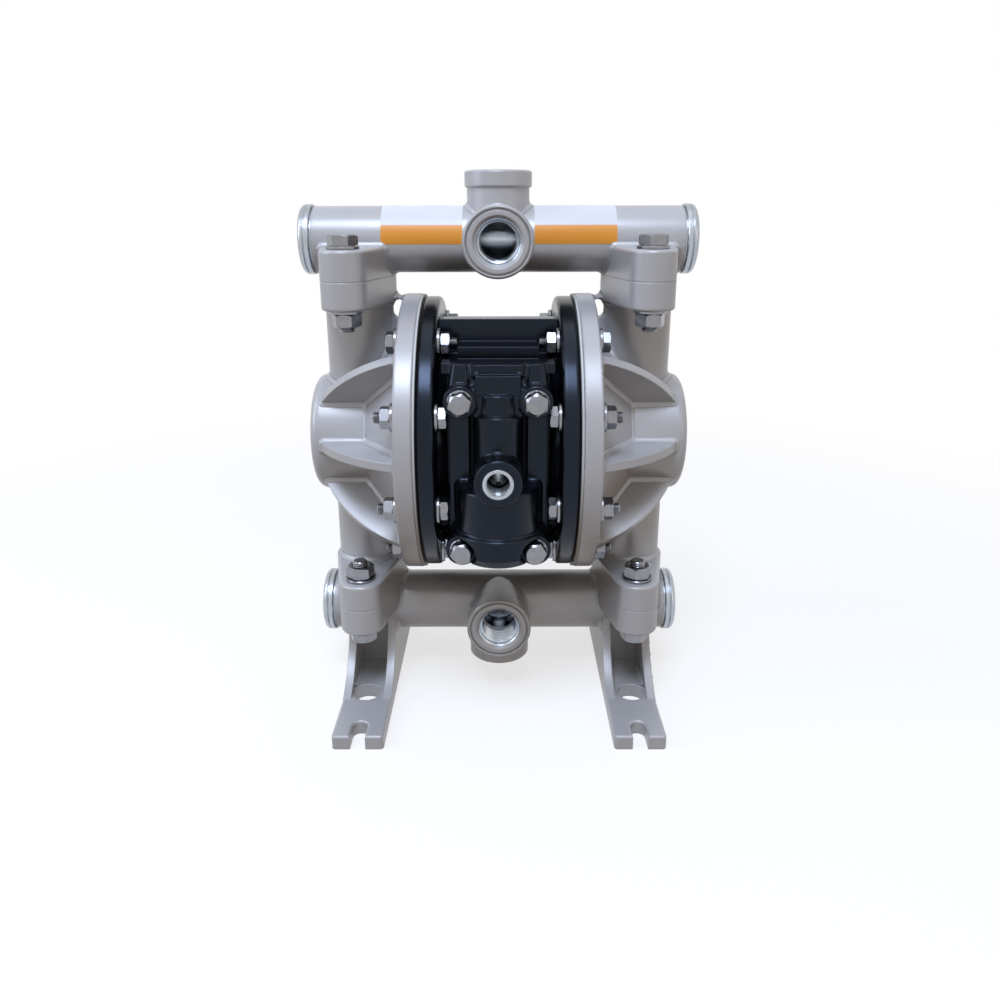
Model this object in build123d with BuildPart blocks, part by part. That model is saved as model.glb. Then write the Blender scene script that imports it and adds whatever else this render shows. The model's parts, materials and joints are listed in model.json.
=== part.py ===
from build123d import *

import os
from math import cos, radians, sin, sqrt

os.makedirs("parts", exist_ok=True)

# Air operated double diaphragm pump, 1/2 inch ports.
# Frame: the floor is z = 0, the middle plane between the two chambers is x = 0,
# the air inlet faces -Y, and the diaphragm axis runs along X above the origin.

# Heights
leg_height = 46.0  # floor to the lower manifold's axis
pipe_drop = 18.0  # clamp joint to manifold axis
joint_rise = 86.0  # diaphragm axis to each clamp joint
manifold_rise = joint_rise + pipe_drop
axis_z = leg_height + manifold_rise
top_joint_z = axis_z + joint_rise
low_joint_z = axis_z - joint_rise
top_pipe_z = axis_z + manifold_rise
low_pipe_z = axis_z - manifold_rise

# Stack along the diaphragm axis, from the middle plane outwards
body_half = 25.2
gasket_t = 0.8
air_hub_depth = 4.4
air_flange_t = 9.3
rim_t = 1.0
fluid_flange_t = 9.4
cone_length = 19.9
hub_length = 29.5
air_hub_x = body_half + gasket_t
air_flange_x = air_hub_x + air_hub_depth
rim_x = air_flange_x + air_flange_t
fluid_x = rim_x + rim_t
fluid_flange_x = fluid_x + fluid_flange_t
hub_x = fluid_flange_x + cone_length
cap_end_x = hub_x + hub_length

# Fluid cap casting
flange_r = 75.6
hub_r = 32.0
cone_step = 17.6  # flat ring on the flange outside the cone
cone_r = flange_r - cone_step
hub_edge_r = 5.0
flange_edge_r = 1.0
cast_wall = 6.0
cone_shift = 2.0  # hollow's cone ends this much earlier than the outer one
cavity_lip = 18.6  # clamped width of the diaphragm rim
cavity_r = flange_r - cavity_lip
rib_t = 4.5
rib_angles = (0.0, 45.0, -45.0, 135.0, -135.0, 180.0)
rib_drop = 5.6  # flange rim to the rib's highest point
rib_tip = 6.0  # hub end to the rib's tip
rib_bow = 5.4
web_t = 6.0
web_drop = 12.1  # flange rim to the web's highest point
web_rise = flange_r - web_drop
neck_inset = 4.5  # neck axis outside the cone's end
neck_x = hub_x + neck_inset
neck_r = 18.0
cap_ear_t = 14.0
manifold_ear_t = 15.0
ear_y = 40.0
ear_r = 11.8
ear_root_r = 20.0
ear_edge_r = 1.6

# Check valves
ball_r = 10.0
ball_gap = 1.8
ball_lift = 5.0
ball_clear = 0.1
valve_bore_r = ball_r + ball_gap
seat_t = 5.0
seat_bore_r = 6.2
seat_wall = 7.8
seat_r = seat_bore_r + seat_wall
seat_cone = 3.2
seat_fit = 0.15
seal_d = 1.8
seal_clear = 0.1
stop_t = 5.0
stop_w = 4.0
stop_peg_r = 4.0
stop_grip = 2.0  # how far a stop reaches into the wall
stop_clear = 0.3

# Manifold castings
pipe_r = 16.9
pipe_bore_r = 11.5
pipe_reach = 20.7  # pipe end outside the neck axis
pipe_end_x = neck_x + pipe_reach
port_reach = 37.5  # manifold axis to the front port's face
port_ring_r = 17.6
port_ring_t = 9.0
port_neck_r = 16.2
port_edge = 0.8
port_bore_r = 10.48  # G1/2 thread, major diameter
port_mouth = 2.2
port_thread_depth = 18.0
port_passage_r = 9.3
port_groove_r = 15.1
port_groove_w = 0.9
port_groove_depth = 1.2
tower_rise = 34.1  # manifold axis to the vertical port's face
collar_r = 17.4
collar_t = 8.4
plug_t = 24.0
plug_sink = 2.0
plug_clear = 0.05
plug_chamfer = 2.0
plug_socket = 12.0
plug_socket_depth = 9.0
end_cap_r = 17.9
end_cap_t = 6.8
end_cap_edge = 1.0
end_cap_round = 2.6
spigot_length = 9.0
spigot_clear = 0.05
end_seal_d = 1.7
end_socket = 12.0
end_socket_depth = 5.0

# Legs of the lower manifold
foot_inner_x = 60.0
foot_width = 27.0
foot_mid_x = foot_inner_x + foot_width / 2
foot_half_length = 80.5
foot_t = 7.7
leg_wall = 4.5
leg_web_t = 5.0
leg_top_y = 15.0
leg_toe_y = 47.0
leg_curve_in = 5.0
slot_w = 8.0
slot_depth = 13.5
access_r = 7.8
foot_corner_r = 2.0
foot_edge_r = 1.2

# Fasteners
m6_r = 3.0
m6_head_af = 10.0
m6_head_h = 4.2
m6_nut_h = 5.0
m6_washer_r = 7.2
m6_washer_t = 1.6
m6_stub = 3.4
m8_r = 4.0
m8_head_af = 13.0
m8_head_h = 5.3
m8_nut_h = 6.5
m8_washer_r = 8.0
m8_washer_t = 1.6
m8_stub = 2.6
hole_clear = 0.4
thread_clear = 0.02
bolt_edge = 9.1  # flange rim to the chamber bolts' circle
chamber_bolt_r = flange_r - bolt_edge
chamber_bolt_angles = (20.5, 56.5)

# Centre section
air_cap_step = 1.5
air_cap_r = flange_r - air_cap_step
air_hub_gap = 12.5  # bolt circle to the hub behind the flange
air_hub_r = chamber_bolt_r - air_hub_gap
air_hub_flare = 2.0
air_bore_r = 30.0
air_floor_t = 4.5
air_edge_r = 2.2
air_screw_r = 2.5
air_screw_length = 14.0
air_screw_head_r = 4.6
air_screw_head_h = 2.8
side_bolt_y = chamber_bolt_r * cos(radians(chamber_bolt_angles[0]))
crown_bolt_y = chamber_bolt_r * cos(radians(chamber_bolt_angles[1]))
body_front_gap = 12.3  # bolts beside the block to its faces
body_back_gap = 14.3
body_bolt_gap = 18.0
body_front_y = body_front_gap - side_bolt_y
body_back_y = side_bolt_y - body_back_gap
body_half_z = chamber_bolt_r - body_bolt_gap
body_width = 4 * body_half_z  # wider than anything that is cut off behind the cover
crown_bolt_gap = 8.7
crown_half_y = crown_bolt_y - crown_bolt_gap
crown_top_drop = 9.6  # flange rim to the crown's ridge, back, foot and shelf
crown_back_drop = 17.0
crown_foot_drop = 15.6
crown_shelf_drop = 21.0
crown_rise = flange_r - crown_top_drop
crown_back_rise = flange_r - crown_back_drop
crown_drop = flange_r - crown_foot_drop
crown_shelf_rise = flange_r - crown_shelf_drop
crown_ridge_t = 10.0
crown_gap = 0.2
crown_shelf_inset = 5.0
crown_shelf_y = body_front_y + crown_shelf_inset
crown_shelf_half_x = 20.0
body_edge_r = 2.5
air_screw_land = 6.0  # screw circle to the end of the cap's flat floor
air_screw_circle = (air_bore_r + body_half_z) / 2
air_floor_r = air_screw_circle + air_screw_land
hub_clear = 0.4
hub_recess_r = air_hub_r + air_hub_flare + hub_clear

# Diaphragm rod group
stroke_half = 6.0
rod_r = 6.0
rod_clear = 0.05
bush_wall = 3.0
bush_length = 14.0
rod_seal_t = 3.4
rod_seal_wall = 2.6
plate_r = 27.0
air_plate_t = 4.3
fluid_plate_r = 26.0
fluid_plate_t = 3.5
disc_t = 2.2
disc_r = 29.0
bulge_reach = 5.0
screw_clear = 0.05
screw_engage = 14.0
rim_inset = 0.3
disc_mid_x = (rim_x + fluid_x) / 2
disc_in_x = disc_mid_x - disc_t / 2
disc_out_x = disc_mid_x + disc_t / 2
rod_end_x = disc_in_x - air_plate_t

# Pilot rod
pilot_rise = 18.0
pilot_r = 3.0
pilot_clear = 0.05
pilot_travel = 2.0
pilot_gap = 0.3
pilot_bush_wall = 2.4
pilot_bush_length = 10.0
pilot_waist_r = 2.2
pilot_half = rod_end_x - stroke_half + pilot_travel - pilot_gap

# Air valve on the front of the centre section
cover_gasket_t = 1.0
cover_y = body_front_y - cover_gasket_t
cover_t = 8.0
cover_half_x = 24.0
cover_edge_r = 5.0
cover_over = 1.1  # how far the cover passes the block at the top and at the bottom
cover_under = 1.5
cover_top = body_half_z + cover_over
cover_bottom = -body_half_z - cover_under
ledge_half_x = 27.0
ledge_t = 5.0
ledge_reach = 10.5
brow_half_x = 12.0
brow_reach = 15.5
boss_x = 18.0
boss_top_drop = 15.9
boss_bottom_rise = 6.5
boss_top = body_half_z - boss_top_drop
boss_bottom = boss_bottom_rise - body_half_z
boss_r = 8.0
boss_reach = 20.5
boss_edge_r = 1.0
boss_rib_half = 6.5
boss_rib_top_half = 4.0
boss_rib_top_reach = 13.5
boss_rib_inset = 1.5
boss_rib_round = 3.0
pad_half_x = 10.5
pad_top = 45.1
pad_bottom = 36.3
pad_sag = 2.9
pad_reach = 19.5
valve_reach = 10.5
valve_y = cover_y - valve_reach
tower_r = 13.0
tower_bottom = -10.0
tower_top = 26.0
tower_edge_r = 1.5
neck_small_r = 11.5
bulge_r = 20.5
bulge_edge_r = 2.0
bulge_bottom = -32.4
band_r = 22.5
band_t = 12.0
band_edge_r = 1.8
base_top_r = 20.0
base_bottom_r = 18.0
base_bottom = -48.0
inlet_z = -3.2
inlet_boss_r = 11.6
inlet_boss_edge = 1.5
inlet_reach = 23.5
inlet_face_y = valve_y - inlet_reach
insert_r = 7.3
insert_bore_r = 5.72
insert_length = 12.0
insert_clear = 0.02
air_passage_r = 4.0
sleeve_bore_r = 6.3
sleeve_wall = 2.8
sleeve_clear = 0.05
sleeve_top = 24.0
valve_plug_t = 7.0
valve_plug_socket = 8.0
spool_clear = 0.05
spool_travel = 8.0
spool_end_gap = 0.5
spool_waist_r = 4.0
spool_land = 9.0
spool_ring_d = 1.6
spool_port_r = 2.0
spool_port_pitch = 2 * spool_land
spotface_r = 7.6
cover_head_af = 10.0
cover_head_h = 5.6
cover_flange_r = 7.0
cover_flange_t = 1.6
cover_bolt_length = 38.0

# Exhaust silencer
exhaust_boss_r = 14.0
exhaust_boss_t = 5.0
silencer_stem_r = 8.2
silencer_stem = 12.0
silencer_hex_af = 24.0
silencer_hex_t = 6.0
silencer_r = 12.5
silencer_length = 26.0
silencer_round = 4.0

diaphragm_axis = Axis((0, 0, axis_z), (1, 0, 0))
axial = Plane(origin=(0, 0, axis_z), x_dir=(1, 0, 0), z_dir=(0, -1, 0))
LOW = (Align.CENTER, Align.CENTER, Align.MIN)
HIGH = (Align.CENTER, Align.CENTER, Align.MAX)
FORWARD = (Align.CENTER, Align.MAX, Align.CENTER)
BACKWARD = (Align.CENTER, Align.MIN, Align.CENTER)
BACK_AND_UP = (Align.CENTER, Align.MIN, Align.MIN)
sides = (-1, 1)


def face_of(points, plane=axial):
    with BuildSketch(plane) as sketch:
        with BuildLine():
            Polyline(*points, close=True)
        make_face()
    return sketch.sketch


def around(angle, radius, x=0.0):
    """Point on a circle about the diaphragm axis; angle 0 is the front."""
    a = radians(angle)
    return (x, -radius * cos(a), axis_z + radius * sin(a))


def ring(outer_r, inner_r, height):
    with BuildPart() as part:
        Cylinder(outer_r, height, align=LOW)
        Cylinder(inner_r, height, align=LOW, mode=Mode.SUBTRACT)
    return part.part


def seal(middle_r, section_d):
    with BuildPart() as part:
        Torus(middle_r, section_d / 2)
    return part.part


def chamber_holes(x):
    """Places of the sixteen chamber bolts' holes on one side, looking outwards from x."""
    return [Plane(origin=around(a, chamber_bolt_r, x), z_dir=(1, 0, 0)) for a, _ in chamber_bolt_points()]


def air_screw_holes(x, direction):
    return [
        Plane(origin=around(a, air_screw_circle, x), z_dir=(direction, 0, 0)) for a in range(45, 360, 90)
    ]


def cover_holes(y, direction):
    """Planes on the axes of the valve cover's four bolts."""
    return [
        Plane(origin=(x, y, axis_z + z), z_dir=(0, direction, 0))
        for x in (-boss_x, boss_x)
        for z in (boss_top, boss_bottom)
    ]


def blended_boss(radius, height, edge_r):
    """Round boss along +Z with a rounded outer edge."""
    with BuildPart() as part:
        Cylinder(radius, height, align=LOW)
        fillet(part.edges().sort_by(Axis.Z)[-1], edge_r)
    return part.part


def hex_prism(across_flats, height):
    with BuildPart() as part:
        with BuildSketch():
            RegularPolygon(across_flats / 2, 6, major_radius=False)
        extrude(amount=height)
    return part.part


def hex_bolt(radius, length, across_flats, head_h):
    """Shank along +Z from the origin, hexagon head below it."""
    with BuildPart() as part:
        Cylinder(radius, length, align=LOW)
        with Locations((0, 0, -head_h)):
            add(hex_prism(across_flats, head_h))
    return part.part


def hex_nut(radius, across_flats, height):
    with BuildPart() as part:
        add(hex_prism(across_flats, height))
        Cylinder(radius + thread_clear, height, align=LOW, mode=Mode.SUBTRACT)
    return part.part


def mirrored(part):
    with BuildPart() as other:
        mirror(part, about=Plane.YZ)
    return other.part


def save(builder, name):
    builder.part.label = name
    export_step(builder.part, "parts/" + name + ".step")


def save_pair(right, stem):
    """Write a right-hand piece and its mirror image."""
    right.part.label = stem + "_right"
    export_step(right.part, "parts/" + stem + "_right.step")
    left = mirrored(right.part)
    left.label = stem + "_left"
    export_step(left, "parts/" + stem + "_left.step")


def chamber_bolt_points():
    """Angles of the eight chamber bolts, True where the bolt is turned round."""
    turned_round = (chamber_bolt_angles[1], 180 - chamber_bolt_angles[1])
    points = []
    for angle in chamber_bolt_angles:
        for place in (angle, -angle, 180 - angle, angle - 180):
            points.append((place, place in turned_round))
    return points


def chamber_planes(x_head, x_nut):
    """Planes on the two clamped faces of each chamber bolt, looking outwards."""
    heads, nuts = [], []
    for side in sides:
        for angle, turned in chamber_bolt_points():
            inner = Plane(origin=around(angle, chamber_bolt_r, side * x_head), z_dir=(side, 0, 0))
            outer = Plane(origin=around(angle, chamber_bolt_r, side * x_nut), z_dir=(-side, 0, 0))
            heads.append(outer if turned else inner)
            nuts.append(inner if turned else outer)
    return heads, nuts


def clamp_planes(inset):
    """Planes on the manifold ears' outer faces, looking at the fluid cap."""
    planes = []
    for x in (-neck_x, neck_x):
        for y in (-ear_y, ear_y):
            top = top_joint_z + manifold_ear_t - inset
            low = low_joint_z - manifold_ear_t + inset
            planes.append(Plane(origin=(x, y, top), z_dir=(0, 0, -1)))
            planes.append(Plane(origin=(x, y, low), z_dir=(0, 0, 1)))
    return planes


def clamp_ears(z, height, outer):
    """Plate with a round ear in front of and behind the valve neck; outer is its free side."""
    with BuildPart() as part:
        with BuildSketch(Plane.XY.offset(z)):
            with Locations((neck_x, 0)):
                Circle(ear_root_r)
            with Locations((neck_x, -ear_y), (neck_x, ear_y)):
                Circle(ear_r)
            make_hull()
        extrude(amount=height)
        fillet(part.faces().sort_by(Axis.Z)[0 if outer < 0 else -1].edges(), ear_edge_r)
    return part.part


def clamp_holes(z, height):
    with BuildPart() as part:
        with Locations((neck_x, -ear_y, z), (neck_x, ear_y, z)):
            Cylinder(m8_r + hole_clear, height, align=LOW)
    return part.part


def rib_face(angle):
    """Rib plane through the diaphragm axis; its edge is an arc from the hub to the flange."""
    a = radians(angle)
    plane = Plane(origin=(0, 0, axis_z), x_dir=(1, 0, 0), z_dir=(0, -sin(a), -cos(a)))
    tip = (cap_end_x - rib_tip, hub_r)
    top = (fluid_flange_x, flange_r - rib_drop)
    root = hub_r - cast_wall / 2
    with BuildSketch(plane) as sketch:
        with BuildLine():
            edge = SagittaArc(tip, top, -rib_bow)
            Polyline(edge @ 1, (top[0], root), (tip[0], root), edge @ 0)
        make_face()
    return sketch.sketch


# Fluid cap: ribbed chamber casting with its two valve necks
with BuildPart() as fluid_cap_right:
    revolve(
        face_of(
            [
                (fluid_x, 0),
                (fluid_x, flange_r),
                (fluid_flange_x, flange_r),
                (fluid_flange_x, cone_r),
                (hub_x, hub_r),
                (cap_end_x, hub_r),
                (cap_end_x, 0),
            ]
        ),
        axis=diaphragm_axis,
    )
    fillet(fluid_cap_right.edges().filter_by(GeomType.CIRCLE).sort_by(Axis.X)[-1], hub_edge_r)
    fillet(fluid_cap_right.edges().filter_by(GeomType.CIRCLE).sort_by(SortBy.RADIUS)[-2:], flange_edge_r)
    for angle in rib_angles:
        extrude(rib_face(angle), amount=rib_t / 2, both=True)
    with Locations((neck_x, 0, axis_z)):
        Cylinder(neck_r, 2 * joint_rise)
    with Locations(((fluid_flange_x + neck_x) / 2, 0, axis_z)):
        Box(neck_x - fluid_flange_x, web_t, 2 * web_rise)
    add(clamp_ears(top_joint_z - cap_ear_t, cap_ear_t, -1))
    add(clamp_ears(low_joint_z, cap_ear_t, 1))
    revolve(
        face_of(
            [
                (fluid_x, 0),
                (fluid_x, cavity_r),
                (fluid_flange_x, cone_r - cast_wall),
                (hub_x - cone_shift, hub_r - cast_wall),
                (cap_end_x - cast_wall, hub_r - cast_wall),
                (cap_end_x - cast_wall, 0),
            ]
        ),
        axis=diaphragm_axis,
        mode=Mode.SUBTRACT,
    )
    with Locations((neck_x, 0, axis_z)):
        Cylinder(valve_bore_r, 2 * joint_rise, mode=Mode.SUBTRACT)
    with Locations((neck_x, 0, top_joint_z)):
        Cylinder(seat_r + seat_fit, seat_t, align=HIGH, mode=Mode.SUBTRACT)
    add(clamp_holes(top_joint_z - cap_ear_t, cap_ear_t), mode=Mode.SUBTRACT)
    add(clamp_holes(low_joint_z, cap_ear_t), mode=Mode.SUBTRACT)
    with Locations(*chamber_holes(fluid_x)):
        Cylinder(m6_r + hole_clear, fluid_flange_t, align=LOW, mode=Mode.SUBTRACT)

# Height of a resting ball's centre above its joint, from the 45 degree seat
ball_rest = ball_r * sqrt(2) - seat_bore_r - seat_cone + ball_clear * sqrt(2)
ball_stop = ball_rest + ball_lift + ball_r + stop_clear

with BuildPart() as inlet_stop:
    with Locations((neck_x, 0, low_joint_z + ball_stop)):
        Box(stop_w, 2 * valve_bore_r + stop_grip, stop_t, align=LOW)
with BuildPart() as fluid_cap_with_stop:
    add(fluid_cap_right.part)
    add(inlet_stop.part)
save_pair(fluid_cap_with_stop, "fluid_cap")


def manifold(pipe_z, joint_z, up):
    """Pipe with a front port, a vertical port and two clamp flanges; up is +1 or -1."""
    out = (0, 0, up)
    throat_r = valve_bore_r if up > 0 else seat_r - seal_d
    with BuildPart() as part:
        with Locations(Plane(origin=(0, 0, pipe_z), z_dir=(1, 0, 0))):
            Cylinder(pipe_r, 2 * pipe_end_x)
        with Locations(Plane(origin=(0, 0, pipe_z), z_dir=(0, -1, 0))):
            Cylinder(port_neck_r, port_reach - port_ring_t / 2, align=LOW)
        with Locations(Plane(origin=(0, 0, pipe_z), z_dir=out)):
            Cylinder(port_neck_r, tower_rise - collar_t / 2, align=LOW)
        with Locations(Plane(origin=(0, -port_reach + port_ring_t, pipe_z), z_dir=(0, -1, 0))):
            add(port_ring(port_ring_r, port_ring_t))
        with Locations(Plane(origin=(0, 0, pipe_z + up * (tower_rise - collar_t)), z_dir=out)):
            add(port_ring(collar_r, collar_t))
        ears = clamp_ears(min(joint_z, joint_z + up * manifold_ear_t), manifold_ear_t, up)
        add(ears)
        mirror(ears, about=Plane.YZ)
        with Locations(Plane(origin=(0, 0, pipe_z), z_dir=(1, 0, 0))):
            Cylinder(pipe_bore_r, 2 * pipe_end_x, mode=Mode.SUBTRACT)
        with Locations(Plane(origin=(0, -port_reach, pipe_z), z_dir=(0, 1, 0))):
            add(port_bore(port_thread_depth), mode=Mode.SUBTRACT)
            Cylinder(port_passage_r, port_reach, align=LOW, mode=Mode.SUBTRACT)
        with Locations(Plane(origin=(0, 0, pipe_z + up * tower_rise), z_dir=(0, 0, -up))):
            add(port_bore(tower_rise), mode=Mode.SUBTRACT)
        for x in (-neck_x, neck_x):
            with Locations(Plane(origin=(x, 0, joint_z), z_dir=out)):
                Cylinder(throat_r, pipe_drop, align=LOW, mode=Mode.SUBTRACT)
        holes = clamp_holes(min(joint_z, joint_z + up * manifold_ear_t), manifold_ear_t)
        add(holes, mode=Mode.SUBTRACT)
        mirror(holes, about=Plane.YZ, mode=Mode.SUBTRACT)
    return part.part


def port_ring(radius, height):
    """Collar of a threaded port, face at the top, with a groove round the face."""
    with BuildPart() as part:
        Cylinder(radius, height, align=LOW)
        chamfer(part.edges().filter_by(GeomType.CIRCLE), port_edge)
        with Locations((0, 0, height - port_groove_depth)):
            add(ring(port_groove_r + port_groove_w, port_groove_r, port_groove_depth), mode=Mode.SUBTRACT)
    return part.part


def port_bore(depth):
    """Threaded port's bore with its chamfered mouth at the origin."""
    with BuildPart() as part:
        Cylinder(port_bore_r, depth, align=LOW)
        Cone(port_bore_r + port_mouth, port_bore_r, port_mouth, align=LOW)
    return part.part


# Upper manifold: outlet, with a peg over each ball
with BuildPart() as upper_manifold:
    add(manifold(top_pipe_z, top_joint_z, 1))
    for x in (-neck_x, neck_x):
        with Locations((x, 0, top_joint_z + ball_stop)):
            Cylinder(stop_peg_r, pipe_drop + pipe_bore_r + stop_grip - ball_stop, align=LOW)
save(upper_manifold, "upper_manifold")


def leg_wall_face(x):
    plane = Plane(origin=(x, 0, 0), x_dir=(0, 1, 0), z_dir=(1, 0, 0))
    mid_y = (leg_top_y + leg_toe_y) / 2 - leg_curve_in
    mid_z = (foot_t + low_pipe_z) / 2 - leg_curve_in
    with BuildSketch(plane) as sketch:
        with BuildLine():
            front = ThreePointArc((-leg_toe_y, foot_t), (-mid_y, mid_z), (-leg_top_y, low_pipe_z))
            back = ThreePointArc((leg_toe_y, foot_t), (mid_y, mid_z), (leg_top_y, low_pipe_z))
            Line(front @ 1, back @ 1)
            Polyline(front @ 0, (-leg_toe_y, foot_t / 2), (leg_toe_y, foot_t / 2), back @ 0)
        make_face()
    return sketch.sketch


# One leg: base plate with open slots, two side walls and a cross web
with BuildPart() as leg:
    with BuildSketch() as leg_plan:
        with Locations((foot_mid_x, 0)):
            Rectangle(foot_width, 2 * foot_half_length)
        fillet(leg_plan.vertices(), foot_corner_r)
        with Locations((foot_mid_x, -foot_half_length), (foot_mid_x, foot_half_length)):
            SlotCenterToCenter(2 * slot_depth - slot_w, slot_w, rotation=90, mode=Mode.SUBTRACT)
        with Locations((neck_x, -ear_y), (neck_x, ear_y)):
            Circle(access_r, mode=Mode.SUBTRACT)
    extrude(amount=foot_t)
    fillet(leg.faces().sort_by(Axis.Z)[-1].outer_wire().edges(), foot_edge_r)
    for x in (foot_inner_x, foot_inner_x + foot_width - leg_wall):
        extrude(leg_wall_face(x), amount=leg_wall)
    with Locations((foot_mid_x, 0, foot_t / 2)):
        Box(foot_width - leg_wall, leg_web_t, low_pipe_z - foot_t / 2, align=LOW)

# Lower manifold: inlet, with the seats' pockets and the two legs
with BuildPart() as lower_manifold:
    add(leg.part)
    mirror(leg.part, about=Plane.YZ)
    with Locations(Plane(origin=(0, 0, low_pipe_z), z_dir=(1, 0, 0))):
        Cylinder(pipe_bore_r, 2 * pipe_end_x, mode=Mode.SUBTRACT)
    add(manifold(low_pipe_z, low_joint_z, -1))
    for x in (-neck_x, neck_x):
        with Locations((x, 0, low_joint_z)):
            Cylinder(seat_r + seat_fit, seat_t, align=HIGH, mode=Mode.SUBTRACT)
save(lower_manifold, "lower_manifold")


def end_cap():
    """Screwed end cap: flange from the pipe's end outwards, spigot into the bore."""
    with BuildPart() as part:
        Cylinder(end_cap_r, end_cap_t, align=LOW)
        chamfer(part.edges().sort_by(Axis.Z)[0], end_cap_edge)
        fillet(part.edges().sort_by(Axis.Z)[-1], end_cap_round)
        Cylinder(pipe_bore_r - spigot_clear, spigot_length, align=HIGH)
        with Locations((0, 0, -spigot_length / 2)):
            groove = ring(pipe_bore_r, pipe_bore_r - end_seal_d - spigot_clear, end_seal_d + seal_clear)
            add(groove, mode=Mode.SUBTRACT)
        with Locations((0, 0, end_cap_t - end_socket_depth)):
            add(hex_prism(end_socket, end_socket_depth), mode=Mode.SUBTRACT)
    return part.part


for level, pipe_z in (("upper", top_pipe_z), ("lower", low_pipe_z)):
    with BuildPart() as cap:
        with Locations(Plane(origin=(pipe_end_x, 0, pipe_z), z_dir=(1, 0, 0))):
            add(end_cap())
    save_pair(cap, level + "_end_cap")

with BuildPart() as end_cap_seals:
    seal_x = pipe_end_x - spigot_length / 2 + (end_seal_d + seal_clear) / 2
    for pipe_z in (top_pipe_z, low_pipe_z):
        for side in sides:
            with Locations(Plane(origin=(side * seal_x, 0, pipe_z), z_dir=(1, 0, 0))):
                add(seal(pipe_bore_r - spigot_clear - end_seal_d / 2, end_seal_d))
save(end_cap_seals, "end_cap_seals")


def port_plug():
    """Blanking plug, outer end at the origin, body along +Z."""
    with BuildPart() as part:
        Cylinder(port_bore_r - plug_clear, plug_t, align=LOW)
        chamfer(part.edges().sort_by(Axis.Z)[-1], plug_chamfer)
        add(hex_prism(plug_socket, plug_socket_depth), mode=Mode.SUBTRACT)
    return part.part


with BuildPart() as outlet_plug:
    with Locations(Plane(origin=(0, 0, top_pipe_z + tower_rise - plug_sink), z_dir=(0, 0, -1))):
        add(port_plug())
save(outlet_plug, "outlet_plug")

with BuildPart() as inlet_plug:
    with Locations(Plane(origin=(0, 0, low_pipe_z - tower_rise + plug_sink), z_dir=(0, 0, 1))):
        add(port_plug())
save(inlet_plug, "inlet_plug")


def seat_ring():
    """Valve seat: top face at the origin, 45 degree cone into the bore, seal rebate."""
    rebate = seat_r - seal_d - seal_clear
    rebate_depth = seal_d + seal_clear
    with BuildPart() as part:
        revolve(
            face_of(
                [
                    (seat_bore_r, -seat_t),
                    (seat_r, -seat_t),
                    (seat_r, -rebate_depth),
                    (rebate, -rebate_depth),
                    (rebate, 0),
                    (seat_bore_r + seat_cone, 0),
                    (seat_bore_r, -seat_cone),
                ],
                Plane.XZ,
            ),
            axis=Axis.Z,
        )
    return part.part


with BuildPart() as ball:
    Sphere(ball_r)

for level, joint_z in (("outlet", top_joint_z), ("inlet", low_joint_z)):
    with BuildPart() as seat:
        with Locations((neck_x, 0, joint_z)):
            add(seat_ring())
    save_pair(seat, level + "_seat")
    with BuildPart() as placed_ball:
        with Locations((neck_x, 0, joint_z + ball_rest)):
            add(ball.part)
    save_pair(placed_ball, level + "_ball")

with BuildPart() as seat_seals:
    for x in (-neck_x, neck_x):
        for joint_z in (top_joint_z, low_joint_z):
            with Locations((x, 0, joint_z - (seal_d + seal_clear) / 2)):
                add(seal(seat_r - seal_d / 2, seal_d))
save(seat_seals, "seat_seals")

# Clamp bolts between manifolds and fluid caps
clamp_grip = manifold_ear_t + cap_ear_t
with BuildPart() as manifold_bolts:
    with Locations(*clamp_planes(-m8_washer_t)):
        add(hex_bolt(m8_r, clamp_grip + 2 * m8_washer_t + m8_nut_h + m8_stub, m8_head_af, m8_head_h))
save(manifold_bolts, "manifold_bolts")

with BuildPart() as manifold_nuts:
    with Locations(*clamp_planes(clamp_grip + m8_washer_t)):
        add(hex_nut(m8_r, m8_head_af, m8_nut_h))
save(manifold_nuts, "manifold_nuts")

with BuildPart() as manifold_washers:
    with Locations(*clamp_planes(-m8_washer_t), *clamp_planes(clamp_grip)):
        add(ring(m8_washer_r, m8_r + hole_clear, m8_washer_t))
save(manifold_washers, "manifold_washers")


# Air cap: black disc behind each diaphragm
with BuildPart() as air_cap_right:
    revolve(
        face_of(
            [
                (air_hub_x, air_bore_r),
                (air_hub_x, air_hub_r),
                (air_flange_x, air_hub_r + air_hub_flare),
                (air_flange_x, air_cap_r),
                (rim_x, air_cap_r),
                (rim_x, cavity_r),
                (air_hub_x + air_floor_t, air_floor_r),
                (air_hub_x + air_floor_t, air_bore_r),
            ]
        ),
        axis=diaphragm_axis,
    )
    fillet(air_cap_right.edges().filter_by(GeomType.CIRCLE).sort_by(SortBy.RADIUS)[-2:], air_edge_r)
    with Locations(*chamber_holes(air_flange_x)):
        Cylinder(m6_r + hole_clear, air_flange_t, align=LOW, mode=Mode.SUBTRACT)
    with Locations(*air_screw_holes(air_hub_x, 1)):
        Cylinder(air_screw_r + hole_clear, air_floor_t, align=LOW, mode=Mode.SUBTRACT)
save_pair(air_cap_right, "air_cap")

with BuildPart() as air_cap_gasket_right:
    with Locations(Plane(origin=(body_half, 0, axis_z), z_dir=(1, 0, 0))):
        add(ring(body_half_z - gasket_t, air_bore_r, gasket_t))
    with Locations(*air_screw_holes(body_half, 1)):
        Cylinder(air_screw_r + hole_clear, gasket_t, align=LOW, mode=Mode.SUBTRACT)
save_pair(air_cap_gasket_right, "air_cap_gasket")

with BuildPart() as air_cap_screws:
    for side in sides:
        with Locations(*air_screw_holes(side * (air_hub_x + air_floor_t), -side)):
            Cylinder(air_screw_r, air_floor_t + gasket_t + air_screw_length, align=LOW)
            Cylinder(air_screw_head_r, air_screw_head_h, align=HIGH)
save(air_cap_screws, "air_cap_screws")

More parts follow.
